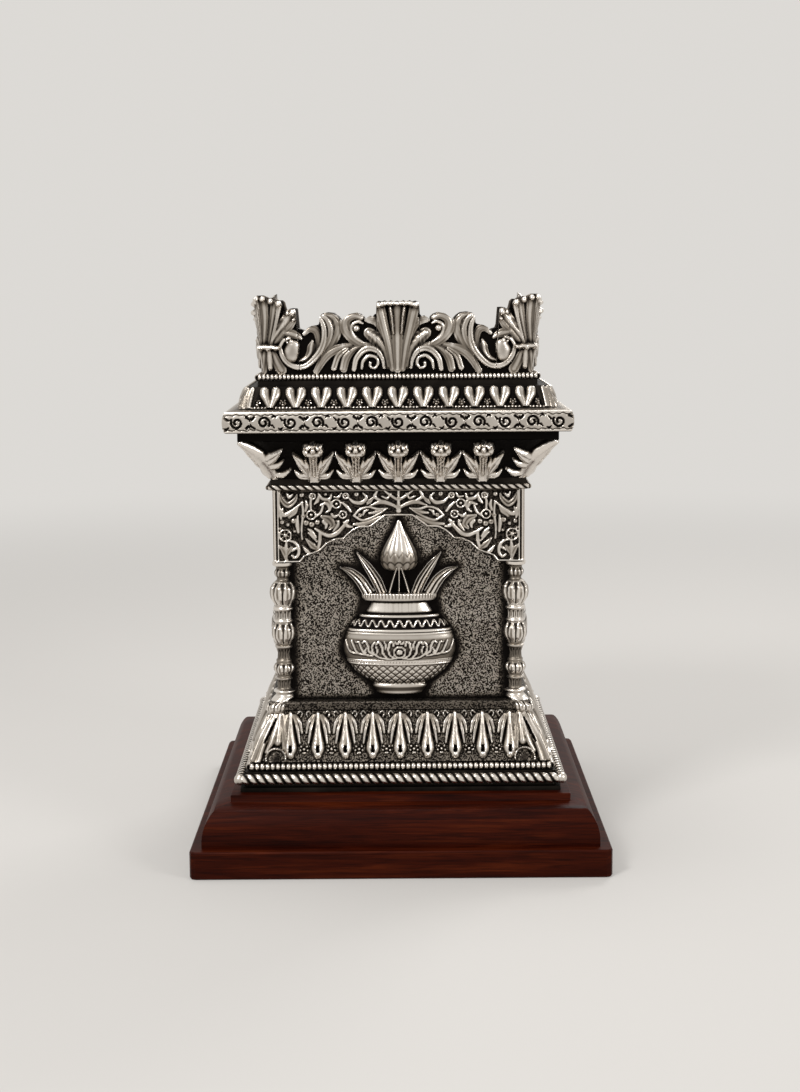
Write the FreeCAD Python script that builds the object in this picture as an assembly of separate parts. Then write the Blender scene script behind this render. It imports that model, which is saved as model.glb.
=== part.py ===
import FreeCAD, Part

import math
import os

from FreeCAD import Vector

# Tulsi vrindavan planter: a pressed metal tower on a two-board wooden stand.
# Millimetres, +Z up, the front faces -Y. Origin: middle of the stand's underside.

# The walls carry the plan. Each tier is set in or out from the one that it joins.
wall_width = 115.0
wall_height = 103.4

# Wooden stand
slab_overhang = 5.5
slab_height = 13.5
slab_corner_radius = 3.0
slab_edge_chamfer = 0.7
plinth_spread = 6.3
plinth_round = 1.4
plinth_ledge = 6.7
platform_margin = 4.4
plinth_foot_height = 4.0
plinth_shoulder_height = 17.0
plinth_ledge_height = 18.8
plinth_height = 22.3

# Screws that clamp the two boards and the metal body together
screw_edge_distance = 6.0
body_screw_radius = 2.0
body_screw_head_radius = 3.9
body_screw_head_height = 2.6
screw_recess = 3.6
screw_clearance = 0.05
screw_overhang = 1.6
nut_width_across_corners = 8.0
nut_height = 3.2

# Sheet, foot mouldings and skirt of the metal body
sheet = 1.3
flange_margin = 2.3
flange_depth = 19.1
flange_height = 2.1
foot_band_projection = 3.6
foot_band_depth = 4.8
foot_band_height = 7.3
foot_rope_radius = 2.6
foot_rope_lift = 1.7
foot_bead_radius = 1.95
foot_riser_inset = 1.3
foot_riser_height = 4.1
skirt_head_projection = 5.4
skirt_spread = 9.6
skirt_height = 23.0
sill_projection = 6.3
sill_height = 4.6
sill_round = 0.8

# Arches, corner columns and pots
arch_depth = 3.1
arch_height = 35.4
arch_relief = 1.3
arch_side_rim = 2.3
arch_lobe_rim = 2.0
arch_top_rim = 0.9
column_axis_inset = 1.1
column_radius = 6.8
pot_lift = 3.1
pot_head_gap = 2.7
pot_depth_share = 0.30

# Neck, cove, cornice, heart tier and crest
neck_projection = 3.7
neck_height = 5.5
neck_rope_radius = 1.4
cove_foot_projection = 1.0
cove_spread = 13.6
cove_height = 19.4
cornice_recess_height = 4.6
cornice_projection = 4.8
cornice_bulge = 0.8
cornice_height = 15.2
cornice_lip = 9.6
tier_foot_inset = 6.1
tier_slope_inset = 4.6
tier_height = 10.0
collar_inset = 3.8
collar_height = 2.7
crest_bead_radius = 1.65
crest_foot_inset = 1.5
crest_lean_out = 2.8
crest_sheet = 1.6
crest_lean_angle = 3.4
# The crest at the back stays out of sight behind the front one: small copies of it stand side by side.
back_crest_copies = 2

# Lift-out liner and the ledge that carries it
ledge_depth = 9.3
liner_rim_gap = 0.8
liner_lift_gap = 0.3
liner_side_gap = 1.2
liner_depth = 140.0
liner_taper = 6.3
liner_wall = 1.0
liner_rim_height = 1.6
liner_corner_radius = 6.0

# Running values
joint_gap = 0.3
small_seat = 0.2
rod_bite = 0.3
overrun = 5.0
hundredth_share = 0.01
flatness_share = 1e-7
rod_sides = 8
column_sides = 8
pot_sides = 8
coconut_sides = 5
corner_steps = 2
screw_sides = 8
nut_sides = 6
side_count = 4

# Outlines as hundredth shares of the size that each one follows.
# Arch opening: x of half the arch's width, height of the arch's height.
# The points run up from the opening's foot, and every second one is a cusp between two lobes.
arch_opening_shares = (
    (79.0, 0.0), (70.5, 6.5), (64.0, 17.0), (54.6, 24.6), (43.5, 33.0), (34.0, 41.6), (22.3, 50.0),
    (14.6, 56.6), (10.6, 64.5),
)
arch_crown_share = 66.0
# Vines on the arch: every figure is of half the arch's width, heights from the arch's foot.
vine_shares = (
    ((82.4, 21, 1.0, 0.8), (88.4, 21, 5.4, 2.1), (94.4, 21, 1.0, 0.8)),
    ((67.6, 33, 1.6, 0.8), (75, 33, 6.2, 2.1), (82.4, 33, 1.6, 0.8)),
    ((65.6, 25.6, 1.2, 1.8), (55, 22.4, 1.8, 2.1), (43.6, 34.4, 1.0, 1.4)),
    ((93.4, 53, 1.2, 1.6), (88, 42.4, 1.8, 2.1), (76.6, 50, 1.0, 1.4)),
    ((38, 32.6, 1.2, 1.0), (33.4, 38.4, 4.2, 2.1), (27, 43, 1.0, 1.0)),
    ((24.6, 48, 1.4, 1.6), (6, 48.6, 1.0, 1.4)),
)

# Turned column: radius of the column's radius, height of the column's height.
column_profile_shares = (
    (70, 0), (64, 3), (78, 5), (50, 7), (50, 14.5), (78, 21), (78, 24), (46, 33), (58, 38.5),
    (86, 46), (86, 50), (52, 57.5), (52, 66), (62, 67.6), (50, 69.2), (100, 81.5), (44, 88), (66, 100),
)

# Pot, coconut and leaves: every figure is of the pot's height, from its foot.
pot_profile_shares = (
    (12.4, 0), (15.6, 4.7), (15.2, 5.8), (23.6, 12), (30.4, 21), (31.8, 28), (28.9, 37.4),
    (21.6, 45.8), (15.2, 53.4), (20.6, 53.8), (20.6, 57.8),
)
coconut_profile_shares = (
    (5.2, 71), (9.8, 73.4), (10.2, 78), (6.2, 87.5), (0.6, 100),
)
coconut_depth_share = 0.55
# Blades: x, height, half width and rise at each station.
pot_leaf_shares = (
    ((-16.2, 56, 3.2, 2.2), (-23.4, 66.6, 2.8, 2.4), (-33.2, 72.9, 0.3, 0.5)),
    ((-8.2, 56, 2.4, 2.2), (-13.4, 70, 3.0, 2.6), (-23.6, 81.6, 0.3, 0.5)),
)
stalk_shares = (
    ((0, 56, 0.9, 1.6), (0, 73, 0.9, 1.8)),
    ((-5.4, 56, 0.9, 1.6), (-1.8, 73, 0.9, 1.8)),
)

# Hanging leaf of the skirt: of the skirt's sloping length, from its foot.
drop_shares = ((0, 97, 7, 3), (0, 80, 6, 5), (0, 24, 13, 8), (0, 5, 3, 2))
drop_blade_shares = (((-7, 90, 6, 5), (-20, 38, 3, 3)),)
skirt_leaf_row_share = 63.9
skirt_leaf_count = 7
# Corner leaves, measured inwards from the corner line: outline points of one wing.
skirt_corner_shares = (
    (0, 98), (24, 98), (31, 68), (44, 36), (58, 8), (54, 4), (40, 16), (33, 4), (26, 15), (14, 15),
    (7, 4), (0, 4),
)
corner_leaf_rise = 1.6

# Lotus spray of the cove: of the cove's sloping length, from its foot.
lotus_shares = (
    ((0, 12, 7, 4), (0, 66, 5, 6), (0, 80, 17, 8), (0, 95, 3, 2)),
)
lotus_side_shares = (((-9, 18, 6, 4), (-20, 48, 8, 6), (-34, 76, 1.5, 2)),)
lotus_row_share = 80.8
lotus_count = 5
cove_corner_shares = (
    (0, 98), (46, 93), (76, 79), (60, 64), (79, 59), (64, 46), (90, 44), (70, 26), (50, 8), (28, 2),
    (0, 2),
)

# Heart leaves: of the tier's sloping length, from its foot.
heart_shares = (((-4, 8, 5, 5), (-27, 88, 19, 14)),)
heart_row_share = 89.5
heart_count = 11

# Crest: every figure is of half the crest's width, heights from the crest's foot.
crest_outline_shares = (
    (0, 54), (11, 56), (15.4, 53.5), (14.7, 43.8), (18.6, 44.6), (22.3, 42), (26, 46.5), (34, 47),
    (38.7, 42), (39.6, 34.5), (40.7, 42), (45, 46.6), (52, 46.8), (55.5, 43), (54.6, 36.8),
    (61, 36), (65.4, 29), (67, 34.5), (71.4, 37), (72.5, 48.6), (79.5, 49.4), (82, 56), (90.5, 56.4),
    (96, 59.5), (104, 58.6), (104, 0),
)
crest_middle_shares = ((0, 9, 3.6, 3.0), (0, 53, 5.4, 4.8))
crest_relief_shares = (
    ((3, 9, 2.6, 2.6), (6.6, 34, 3.4, 3.6), (12, 52.5, 4.4, 4.8)),
    ((5, 9, 3.4, 2.6), (11, 31, 4.2, 3.8), (19.5, 42.6, 2.0, 2.0)),
    ((20.5, 28, 1.2, 1.6), (31.5, 31.5, 3, 3.4), (35.6, 39, 3.4, 4.0), (29.5, 44, 3.0, 3.4),
     (23, 40, 1.2, 1.4)),
    ((55.8, 9, 2.2, 2.2), (33.5, 26, 2.6, 2.8)),
    ((37, 19, 1.6, 2.0), (45, 31, 4.2, 4.0), (49, 45.4, 2.8, 2.4)),
    ((82.5, 25.5, 1.2, 1.4), (80.6, 13.4, 2.2, 2.8), (71, 7.6, 2.4, 3.0), (60.5, 12, 2.6, 3.2),
     (56.6, 24, 2.4, 3.0), (62.4, 33.8, 1.4, 1.4)),
    ((75.4, 15.5, 2.4, 3.4), (75.4, 21.5, 4.8, 5.2), (75.4, 27, 2.4, 3.4)),
    ((91, 19, 1.8, 2.0), (75.6, 47.6, 3.4, 4.2)),
    ((92.4, 19, 1.8, 2.0), (84.8, 54.5, 3.4, 4.2)),
    ((94.5, 19, 1.8, 2.0), (96, 57.6, 4.4, 4.6)),
    ((93.5, 19, 2.2, 2.4), (89, 6, 6.0, 2.8)),
)

# Widths of the tiers over their outer faces
neck_width = wall_width + 2 * neck_projection
cove_foot_width = neck_width + 2 * cove_foot_projection
cove_head_width = cove_foot_width + 2 * cove_spread
cornice_width = cove_head_width + 2 * cornice_projection
tier_foot_width = cornice_width - 2 * tier_foot_inset
tier_head_width = tier_foot_width - 2 * tier_slope_inset
collar_width = tier_head_width - 2 * collar_inset
crest_foot_width = collar_width - 2 * crest_foot_inset
crest_width = crest_foot_width + 2 * crest_lean_out
ledge_inner_width = collar_width - 2 * (sheet + ledge_depth)
sill_width = wall_width + 2 * sill_projection
skirt_head_width = wall_width + 2 * skirt_head_projection
skirt_foot_width = skirt_head_width + 2 * skirt_spread
foot_riser_width = skirt_foot_width - 2 * foot_riser_inset
foot_band_width = foot_riser_width + 2 * foot_band_projection
flange_width = foot_band_width + 2 * flange_margin
flange_inner_width = flange_width - 2 * flange_depth
screw_spread = flange_inner_width + 2 * screw_edge_distance
platform_width = flange_width + 2 * platform_margin
plinth_crown_width = platform_width + 2 * plinth_ledge
plinth_foot_width = plinth_crown_width + 2 * plinth_spread
slab_width = plinth_foot_width + 2 * slab_overhang
arch_width = wall_width + 2 * arch_depth

# Heights where each tier starts
plinth_base = slab_height
stand_top = plinth_base + plinth_height
flange_top = stand_top + flange_height
foot_band_top = flange_top + foot_band_height
skirt_base = foot_band_top + foot_riser_height
skirt_top = skirt_base + skirt_height
wall_base = skirt_top + sill_height
wall_top = wall_base + wall_height
arch_base = wall_top - arch_height
cove_base = wall_top + neck_height
cornice_base = cove_base + cove_height
tier_base = cornice_base + cornice_height
collar_base = tier_base + tier_height
crest_base = collar_base + collar_height
screw_head_top = screw_recess + body_screw_head_height
arch_crown = arch_base + arch_height * arch_crown_share * hundredth_share
pot_height = arch_crown - pot_head_gap - wall_base - pot_lift


def section_point(point):
    # A moulding's section is drawn as distance from the middle line and height.
    return Vector(0, -point[0], point[1])


def face_point(point):
    # An ornament is drawn flat, as distance across and height.
    return Vector(point[0], 0, point[1])


def has_curve(step):
    return isinstance(step[0], tuple)


def ends_of(points):
    return [step[1] if has_curve(step) else step for step in points]


def opposite(point):
    return -point[0], point[1]


def outline(place, points):
    # Closed face from points joined by lines. A pair of points is an arc through the first.
    edges = []
    here = points[0]
    for step in list(points[1:]) + [points[0]]:
        if has_curve(step):
            edges.append(Part.Arc(place(here), place(step[0]), place(step[1])).toShape())
            here = step[1]
        else:
            edges.append(Part.makeLine(place(here), place(step)))
            here = step
    return Part.Face(Part.Wire(edges))


def with_other_half(points, bridge=None):
    # Adds the mirror image of a right half, joined by a line or by an arc through bridge.
    ends = ends_of(points)
    first = opposite(ends[-1])
    steps = list(points) + [(bridge, first) if bridge else first]
    for index in range(len(points) - 1, 0, -1):
        target = opposite(ends[index - 1])
        step = points[index]
        steps.append((opposite(step[0]), target) if has_curve(step) else target)
    return steps


def scaled(shares, size):
    # Turns hundredth shares into lengths, however deep the tuples are nested.
    if isinstance(shares, tuple):
        return tuple(scaled(share, size) for share in shares)
    return shares * size * hundredth_share


def quarter_wedge(reach, low, high):
    # The quarter of the plan that belongs to the front, bounded by the two mitre planes.
    corners = ((0, 0), (-reach, -reach), (reach, -reach), (0, 0))
    base = Part.Face(Part.makePolygon([Vector(x, y, low) for x, y in corners]))
    return base.extrude(Vector(0, 0, high - low))


def mitred(shape):
    box = shape.BoundBox
    return shape.common(quarter_wedge(2 * overrun - box.YMin, box.ZMin - overrun, box.ZMax + overrun))


def strip(points):
    # Front strip of a square moulding, mitred at both ends.
    section = outline(section_point, points)
    reach = overrun - section.BoundBox.YMin
    section.translate(Vector(-reach, 0, 0))
    return mitred(section.extrude(Vector(2 * reach, 0, 0)))


def rod(back_half, foot, radius, bite):
    # Rod strip of flats whose back and foot are cut by bite to seat on their neighbours.
    centre_half = back_half + radius - bite
    centre_height = foot + radius - bite
    points = []
    for index in range(rod_sides):
        angle = (index + 1 / 2) * 2 * math.pi / rod_sides
        half = max(centre_half + radius * math.cos(angle), back_half)
        points.append((half, max(centre_height + radius * math.sin(angle), foot)))
    return strip(points)


def turned(shape, quarters):
    copy = shape.copy()
    copy.rotate(Vector(0, 0, 0), Vector(0, 0, 1), 90 * quarters)
    return copy


def around(shape):
    return [turned(shape, quarters) for quarters in range(side_count)]


def mirrored(shape):
    return shape.mirror(Vector(0, 0, 0), Vector(1, 0, 0))


def fused(pieces):
    if len(pieces) == 1:
        return pieces[0]
    return pieces[0].multiFuse(pieces[1:]).removeSplitter()


def flat_patch(corners):
    # One face where four corners lie in a plane, otherwise two triangles.
    a, b, c, d = corners
    lift = (b - a).cross(c - a).dot(d - a)
    size = max((c - a).Length, (d - b).Length)
    rings = [[a, b, c, d, a]] if abs(lift) < flatness_share * size ** 3 else [[a, b, c, a], [a, c, d, a]]
    return [Part.Face(Part.makePolygon(ring)) for ring in rings]


def skin(rings):
    # Solid through rings that have as many corners each, with flat facets between them.
    faces = [Part.Face(Part.makePolygon(ring + [ring[0]])) for ring in (rings[0], rings[-1])]
    count = len(rings[0])
    for low, high in zip(rings, rings[1:]):
        for index in range(count):
            after = (index + 1) % count
            faces += flat_patch((low[index], low[after], high[after], high[index]))
    solid = Part.Solid(Part.makeShell(faces))
    if solid.Volume < 0:
        solid.reverse()
    return solid


def eased_square(half, radius, height):
    # Square ring whose corners are rounded in a few flats.
    ring = []
    for quarter in range(4):
        for index in range(corner_steps + 1):
            angle = (quarter + index / corner_steps) * math.pi / 2
            turn = (quarter + 1 / 2) * math.pi / 2
            middle = (half - radius) * math.sqrt(2)
            ring.append(Vector(
                middle * math.cos(turn) + radius * math.cos(angle),
                middle * math.sin(turn) + radius * math.sin(angle), height,
            ))
    return ring


def blade(stations):
    # Leaf blade lying on the plane y = 0 and ridged towards -Y.
    # Each station gives x, height, half width and rise.
    rings = []
    last = len(stations) - 1
    for index, (across, height, half, rise) in enumerate(stations):
        before = stations[max(index - 1, 0)]
        after = stations[min(index + 1, last)]
        run = Vector(after[0] - before[0], 0, after[1] - before[1]).normalize()
        side = Vector(run.z, 0, -run.x) * half
        foot = Vector(across, 0, height)
        rings.append([foot - side, foot - Vector(0, rise, 0), foot + side])
    return skin(rings)


def blades(shares, size):
    return [blade(scaled(stations, size)) for stations in shares]


def both_sides(shares, size):
    right = blades(shares, size)
    return right + [mirrored(piece) for piece in right]


def half_round(profile, depth_share, flats):
    # Half of a turned form in flats, pressed flat against the plane y = 0.
    rings = []
    for half, height in profile:
        angles = [index * math.pi / flats for index in range(flats + 1)]
        rings.append([
            Vector(half * math.cos(angle), -half * depth_share * math.sin(angle), height)
            for angle in angles
        ])
    return skin(rings)


def laid(shape, half, height, tilt):
    # Lays a flat ornament on a face that starts at half and height and tilts by tilt degrees.
    copy = shape.copy()
    copy.rotate(Vector(0, 0, 0), Vector(1, 0, 0), tilt)
    copy.translate(Vector(0, -half, height))
    return copy


def in_a_row(shape, hundredfold_length, count):
    pitch = hundredfold_length * hundredth_share / count
    middle = (count - 1) / 2
    copies = [shape.copy() for index in range(count)]
    for index, copy in enumerate(copies):
        copy.translate(Vector((index - middle) * pitch, 0, 0))
    return copies


def screw_places():
    half = screw_spread / 2
    return [Vector(x * half, y * half, 0) for x in (-1, 1) for y in (-1, 1)]


def post(centre, radius, flats, low, high):
    # Upright post in flats, so that a screw and its hole have the same facets.
    corners = []
    for index in range(flats + 1):
        angle = index * 2 * math.pi / flats
        corners.append(centre + Vector(radius * math.cos(angle), radius * math.sin(angle), low))
    return Part.Face(Part.makePolygon(corners)).extrude(Vector(0, 0, high - low))


def drilled(shape, radius, low, high):
    holes = [post(centre, radius, screw_sides, low, high) for centre in screw_places()]
    return shape.cut(Part.makeCompound(holes))


def slab():
    # Lower board with rounded corners and eased edges.
    half = slab_width / 2
    eased = half - slab_edge_chamfer
    eased_radius = slab_corner_radius - slab_edge_chamfer
    board = skin([
        eased_square(eased, eased_radius, 0), eased_square(half, slab_corner_radius, slab_edge_chamfer),
        eased_square(half, slab_corner_radius, slab_height - slab_edge_chamfer),
        eased_square(eased, eased_radius, slab_height),
    ])
    board = drilled(board, body_screw_head_radius + screw_clearance, -overrun, screw_head_top)
    return drilled(board, body_screw_radius + screw_clearance, 0, slab_height + overrun)


def plinth():
    # Board with a rounded flank, a sloping ledge and the platform that carries the metal body.
    foot = plinth_foot_width / 2
    crown = plinth_crown_width / 2
    platform = platform_width / 2
    flank = (
        (foot + crown) / 2 + plinth_round,
        (plinth_foot_height + plinth_shoulder_height + plinth_round) / 2,
    )
    profile = outline(section_point, with_other_half([
        (foot, 0), (foot, plinth_foot_height), (flank, (crown, plinth_shoulder_height)),
        (platform, plinth_ledge_height), (platform, plinth_height),
    ]))
    profile.translate(Vector(-foot, 0, plinth_base))
    bar = profile.extrude(Vector(2 * foot, 0, 0))
    board = bar.common(turned(bar, 1))
    return drilled(board, body_screw_radius + screw_clearance, 0, stand_top + overrun)


def body_screw(centre):
    tip = flange_top + nut_height + screw_overhang
    head = post(centre, body_screw_head_radius, screw_sides, screw_recess, screw_head_top)
    return head.fuse(post(centre, body_screw_radius, screw_sides, screw_head_top, tip))


def flange_nut(centre):
    top = flange_top + nut_height
    block = post(centre, nut_width_across_corners / 2, nut_sides, flange_top, top)
    return block.cut(post(centre, body_screw_radius + screw_clearance, screw_sides, 0, top + overrun))


def foot_frame():
    inner = flange_inner_width / 2
    flange = flange_width / 2
    band = foot_band_width / 2
    band_inner = band - foot_band_depth
    riser = foot_riser_width / 2
    front = strip([
        (inner, stand_top), (flange, stand_top), (flange, flange_top), (band, flange_top),
        (band, foot_band_top), (riser, foot_band_top), (riser, skirt_base), (riser - sheet, skirt_base),
        (riser - sheet, foot_band_top), (band_inner, foot_band_top), (band_inner, flange_top),
        (inner, flange_top),
    ])
    return [
        drilled(piece, body_screw_radius + screw_clearance, stand_top - overrun, flange_top + overrun)
        for piece in around(front)
    ]


def skirt_panel():
    foot = skirt_foot_width / 2
    head = skirt_head_width / 2
    lip = foot_riser_width / 2 - sheet
    return strip([
        (lip, skirt_base), (foot, skirt_base), (head, skirt_top), (head - sheet, skirt_top),
        (foot - sheet, skirt_base + sheet), (lip, skirt_base + sheet),
    ])


def sill():
    outer = sill_width / 2
    inner = wall_width / 2 - sheet
    return strip([
        (inner, skirt_top), (outer - sill_round, skirt_top), (outer, skirt_top + sill_round),
        (outer, wall_base - sill_round), (outer - sill_round, wall_base), (inner, wall_base),
    ])


def wall_panel():
    outer = wall_width / 2
    return strip([
        (outer - sheet, wall_base), (outer, wall_base), (outer, wall_top), (outer - sheet, wall_top),
    ])


def arch_face(width, foot, head, lift):
    # Face above the scalloped opening. Its lobes stand higher than the opening's by lift.
    half = arch_width / 2
    right = [(width, head), (width, arch_base + foot)]
    for across, height in arch_opening_shares:
        level = arch_base + height * arch_height * hundredth_share
        right.append((min(across * half * hundredth_share, width), max(level + lift, arch_base + foot)))
    crown = (0, arch_crown + lift)
    return outline(face_point, right + [crown] + [opposite(point) for point in reversed(right)])


def arch_panel():
    # Spandrel plate with a sunk ground inside a raised rim, and the main vines standing on the ground.
    half = arch_width / 2
    plate = arch_face(half, 0, wall_top, 0).extrude(Vector(0, -arch_depth, 0))
    ground = arch_face(half - arch_side_rim, arch_lobe_rim, wall_top - arch_top_rim, arch_lobe_rim)
    ground.translate(Vector(0, arch_relief - arch_depth, 0))
    plate = plate.cut(ground.extrude(Vector(0, -arch_depth, 0)))
    vines = both_sides(vine_shares, half)
    for vine in vines:
        vine.translate(Vector(0, arch_relief - arch_depth + small_seat, arch_base))
    whole = fused([plate] + vines)
    whole.translate(Vector(0, -wall_width / 2, 0))
    return mitred(whole)


def corner_column():
    # Turned column in flats, notched to sit over the corner where two walls meet.
    height = arch_base - wall_base
    axis = wall_width / 2 - column_axis_inset
    rings = []
    for radius_share, height_share in column_profile_shares:
        radius = radius_share * column_radius * hundredth_share
        level = wall_base + height_share * height * hundredth_share
        angles = [index * 2 * math.pi / column_sides - math.pi / 4 for index in range(column_sides)]
        rings.append([
            Vector(axis + radius * math.cos(angle), radius * math.sin(angle) - axis, level)
            for angle in angles
        ])
    corner = Vector(-wall_width / 2, -wall_width / 2, wall_base)
    core = Part.makeBox(wall_width, wall_width, wall_height, corner)
    return skin(rings).cut(core)


def kalash():
    # Pot with its coconut and leaves, flat at the back where it is soldered to the wall.
    pot = half_round(scaled(pot_profile_shares, pot_height), pot_depth_share, pot_sides)
    coconut = half_round(scaled(coconut_profile_shares, pot_height), coconut_depth_share, coconut_sides)
    stalks = blades(stalk_shares, pot_height)
    stalks.append(mirrored(stalks[-1]))
    whole = fused([pot, coconut] + stalks + both_sides(pot_leaf_shares, pot_height))
    whole.translate(Vector(0, -wall_width / 2, wall_base + pot_lift))
    return whole


def neck_frame():
    outer = neck_width / 2
    inner = wall_width / 2 - sheet
    return strip([(inner, wall_top), (outer, wall_top), (outer, cove_base), (inner, cove_base)])


def cove_panel():
    foot = cove_foot_width / 2
    head = cove_head_width / 2
    return strip([
        (foot - sheet, cove_base), (foot, cove_base), (head, cornice_base), (head - sheet, cornice_base),
    ])


def cornice_strip():
    # Hollow moulding pressed from sheet, open towards the inside of the body.
    recess = cove_head_width / 2 - small_seat
    inner = recess - cornice_lip
    outer = cornice_width / 2
    top = tier_foot_width / 2
    step = cornice_base + cornice_recess_height
    brow = tier_base - sheet
    return strip([
        (inner, cornice_base), (recess, cornice_base), (recess, step), (outer, step),
        ((outer + cornice_bulge, (step + brow) / 2), (outer, brow)), (top, tier_base), (inner, tier_base),
        (inner, tier_base - sheet), (top - sheet, tier_base - sheet), (outer - sheet, brow - sheet),
        (outer - sheet, step + sheet), (recess - sheet, step + sheet),
        (recess - sheet, cornice_base + sheet), (inner, cornice_base + sheet),
    ])


def tier_strip():
    foot = tier_foot_width / 2
    head = tier_head_width / 2
    collar = collar_width / 2
    shelf = crest_foot_width / 2 - crest_sheet - liner_rim_gap
    under = collar_base - sheet
    return strip([
        (foot, tier_base), (head, collar_base), (collar, collar_base), (collar, crest_base),
        (shelf, crest_base), (shelf, crest_base - sheet), (collar - sheet, crest_base - sheet),
        (collar - sheet, under), (head - sheet, under), (foot - sheet, tier_base),
    ])


def crest_panel(copies):
    # Leaf crest: a plate with a leafy outline, carrying ridged leaves and scrolls.
    # Small copies have fewer of them, cut off at the foot to leave room for the beads there.
    size = crest_width / 2
    plate = outline(face_point, [(0, 0)] + list(scaled(crest_outline_shares, size)))
    right = blades(crest_relief_shares[::copies], size)
    relief = right + [mirrored(piece) for piece in right] + [blade(scaled(crest_middle_shares, size))]
    for piece in relief:
        piece.translate(Vector(0, small_seat, 0))
    plate = plate.extrude(Vector(0, crest_sheet, 0))
    whole = fused([plate, mirrored(plate)] + relief)
    if copies > 1:
        whole.scale(1 / copies)
        whole = fused(in_a_row(whole, crest_width / hundredth_share, copies))
        bead_room = Part.makeBox(crest_width, overrun, 2 * crest_bead_radius)
        bead_room.translate(Vector(-size, -overrun, 0))
        whole = whole.cut(bead_room)
    return mitred(laid(whole, crest_foot_width / 2, crest_base, crest_lean_angle))


def rim_ledge():
    outer = collar_width / 2 - sheet
    top = crest_base - sheet
    inner = ledge_inner_width / 2
    return strip([(inner, top - sheet), (outer, top - sheet), (outer, top), (inner, top)])


def liner():
    # Watertight tub that hangs by its rim on the ledge.
    seat = crest_base - sheet + liner_lift_gap
    top = seat + liner_rim_height
    floor = seat - liner_depth
    rim = crest_foot_width / 2 - crest_sheet - 2 * liner_rim_gap
    mouth = ledge_inner_width / 2 - liner_side_gap
    foot = mouth - liner_taper
    radius = liner_corner_radius
    inner_radius = radius - liner_wall
    plate = skin([eased_square(rim, radius, seat), eased_square(rim, radius, top)])
    outside = skin([eased_square(foot, radius, floor), eased_square(mouth, radius, seat)])
    inside = skin([
        eased_square(foot - liner_wall, inner_radius, floor + liner_wall),
        eased_square(mouth - liner_wall, inner_radius, seat),
        eased_square(mouth - liner_wall, inner_radius, top + overrun),
    ])
    return fused([plate, outside]).cut(inside)


def slope(foot_width, head_width, height):
    # Length of a sloping face and its tilt about the X axis, in degrees.
    inset = (foot_width - head_width) / 2
    return math.hypot(inset, height), -math.degrees(math.atan2(inset, height))


def corner_wings(points, foot_width, head_width, base, height):
    # Leaf over a mitred corner: one wing on the front and its mirror image on the right.
    # Points are distances inwards from the corner line and up the face.
    length, tilt = slope(foot_width, head_width, height)
    lean = (foot_width - head_width) / 2 / length

    def place(point):
        return foot_width / 2 - point[0] - lean * point[1], point[1]

    steps = [(place(step[0]), place(step[1])) if has_curve(step) else place(step) for step in points]
    reach = max(foot_width, head_width) / 2 + corner_leaf_rise
    steps += [(reach, points[-1][1]), (reach, points[0][1])]
    wing = outline(face_point, steps).extrude(Vector(0, -corner_leaf_rise, 0))
    wing = mitred(laid(wing, foot_width / 2, base, tilt))
    return fused([wing, wing.mirror(Vector(0, 0, 0), Vector(1, 1, 0))])


def skirt_leaves():
    length, tilt = slope(skirt_foot_width, skirt_head_width, skirt_height)
    leaf = fused([blade(scaled(drop_shares, length))] + both_sides(drop_blade_shares, length))
    leaf = laid(leaf, skirt_foot_width / 2, skirt_base, tilt)
    return in_a_row(leaf, skirt_foot_width * skirt_leaf_row_share, skirt_leaf_count)


def skirt_corner():
    length = slope(skirt_foot_width, skirt_head_width, skirt_height)[0]
    points = scaled(skirt_corner_shares, length)
    return corner_wings(points, skirt_foot_width, skirt_head_width, skirt_base, skirt_height)


def lotus_sprays():
    length, tilt = slope(cove_foot_width, cove_head_width, cove_height)
    spray = fused(blades(lotus_shares, length) + both_sides(lotus_side_shares, length))
    spray = laid(spray, cove_foot_width / 2, cove_base, tilt)
    return in_a_row(spray, cove_foot_width * lotus_row_share, lotus_count)


def cove_corner():
    length = slope(cove_foot_width, cove_head_width, cove_height)[0]
    points = scaled(cove_corner_shares, length)
    return corner_wings(points, cove_foot_width, cove_head_width, cove_base, cove_height)


def heart_leaves():
    length, tilt = slope(tier_foot_width, tier_head_width, tier_height)
    heart = laid(fused(both_sides(heart_shares, length)), tier_foot_width / 2, tier_base, tilt)
    return in_a_row(heart, tier_foot_width * heart_row_share, heart_count)


def save(name, pieces):
    solids = [solid for piece in pieces for solid in piece.Solids]
    shape = solids[0] if len(solids) == 1 else Part.makeCompound(solids)
    shape.exportStep("parts/" + name + ".step")
    print(name, len(solids), round(shape.Volume, 1), shape.isValid())


def save_sides(name, pieces):
    for side, quarters in (("front", 0), ("right", 1), ("back", 2), ("left", 3)):
        save(name + "_" + side, [turned(piece, quarters) for piece in pieces])


def save_around(name, pieces):
    save(name, [copy for piece in pieces for copy in around(piece)])


os.makedirs("parts", exist_ok=True)

save("base_slab", [slab()])
save("base_plinth", [plinth()])
save("body_screws", [body_screw(centre) for centre in screw_places()])
save("flange_nuts", [flange_nut(centre) for centre in screw_places()])

save("foot_frame", foot_frame())
foot_rope_base = flange_top + foot_rope_lift
save_around("foot_rope", [rod(foot_band_width / 2, foot_rope_base, foot_rope_radius, rod_bite)])
save_around("foot_beads", [rod(foot_riser_width / 2, foot_band_top, foot_bead_radius, rod_bite)])
save_sides("skirt", [skirt_panel()])
save_sides("skirt_leaves", skirt_leaves())
save_around("skirt_corner_leaves", [skirt_corner()])
save_around("sill", [sill()])

save_sides("wall", [wall_panel()])
save_sides("arch", [arch_panel()])
save_sides("kalash", [kalash()])
save_sides("column", [corner_column()])

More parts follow.
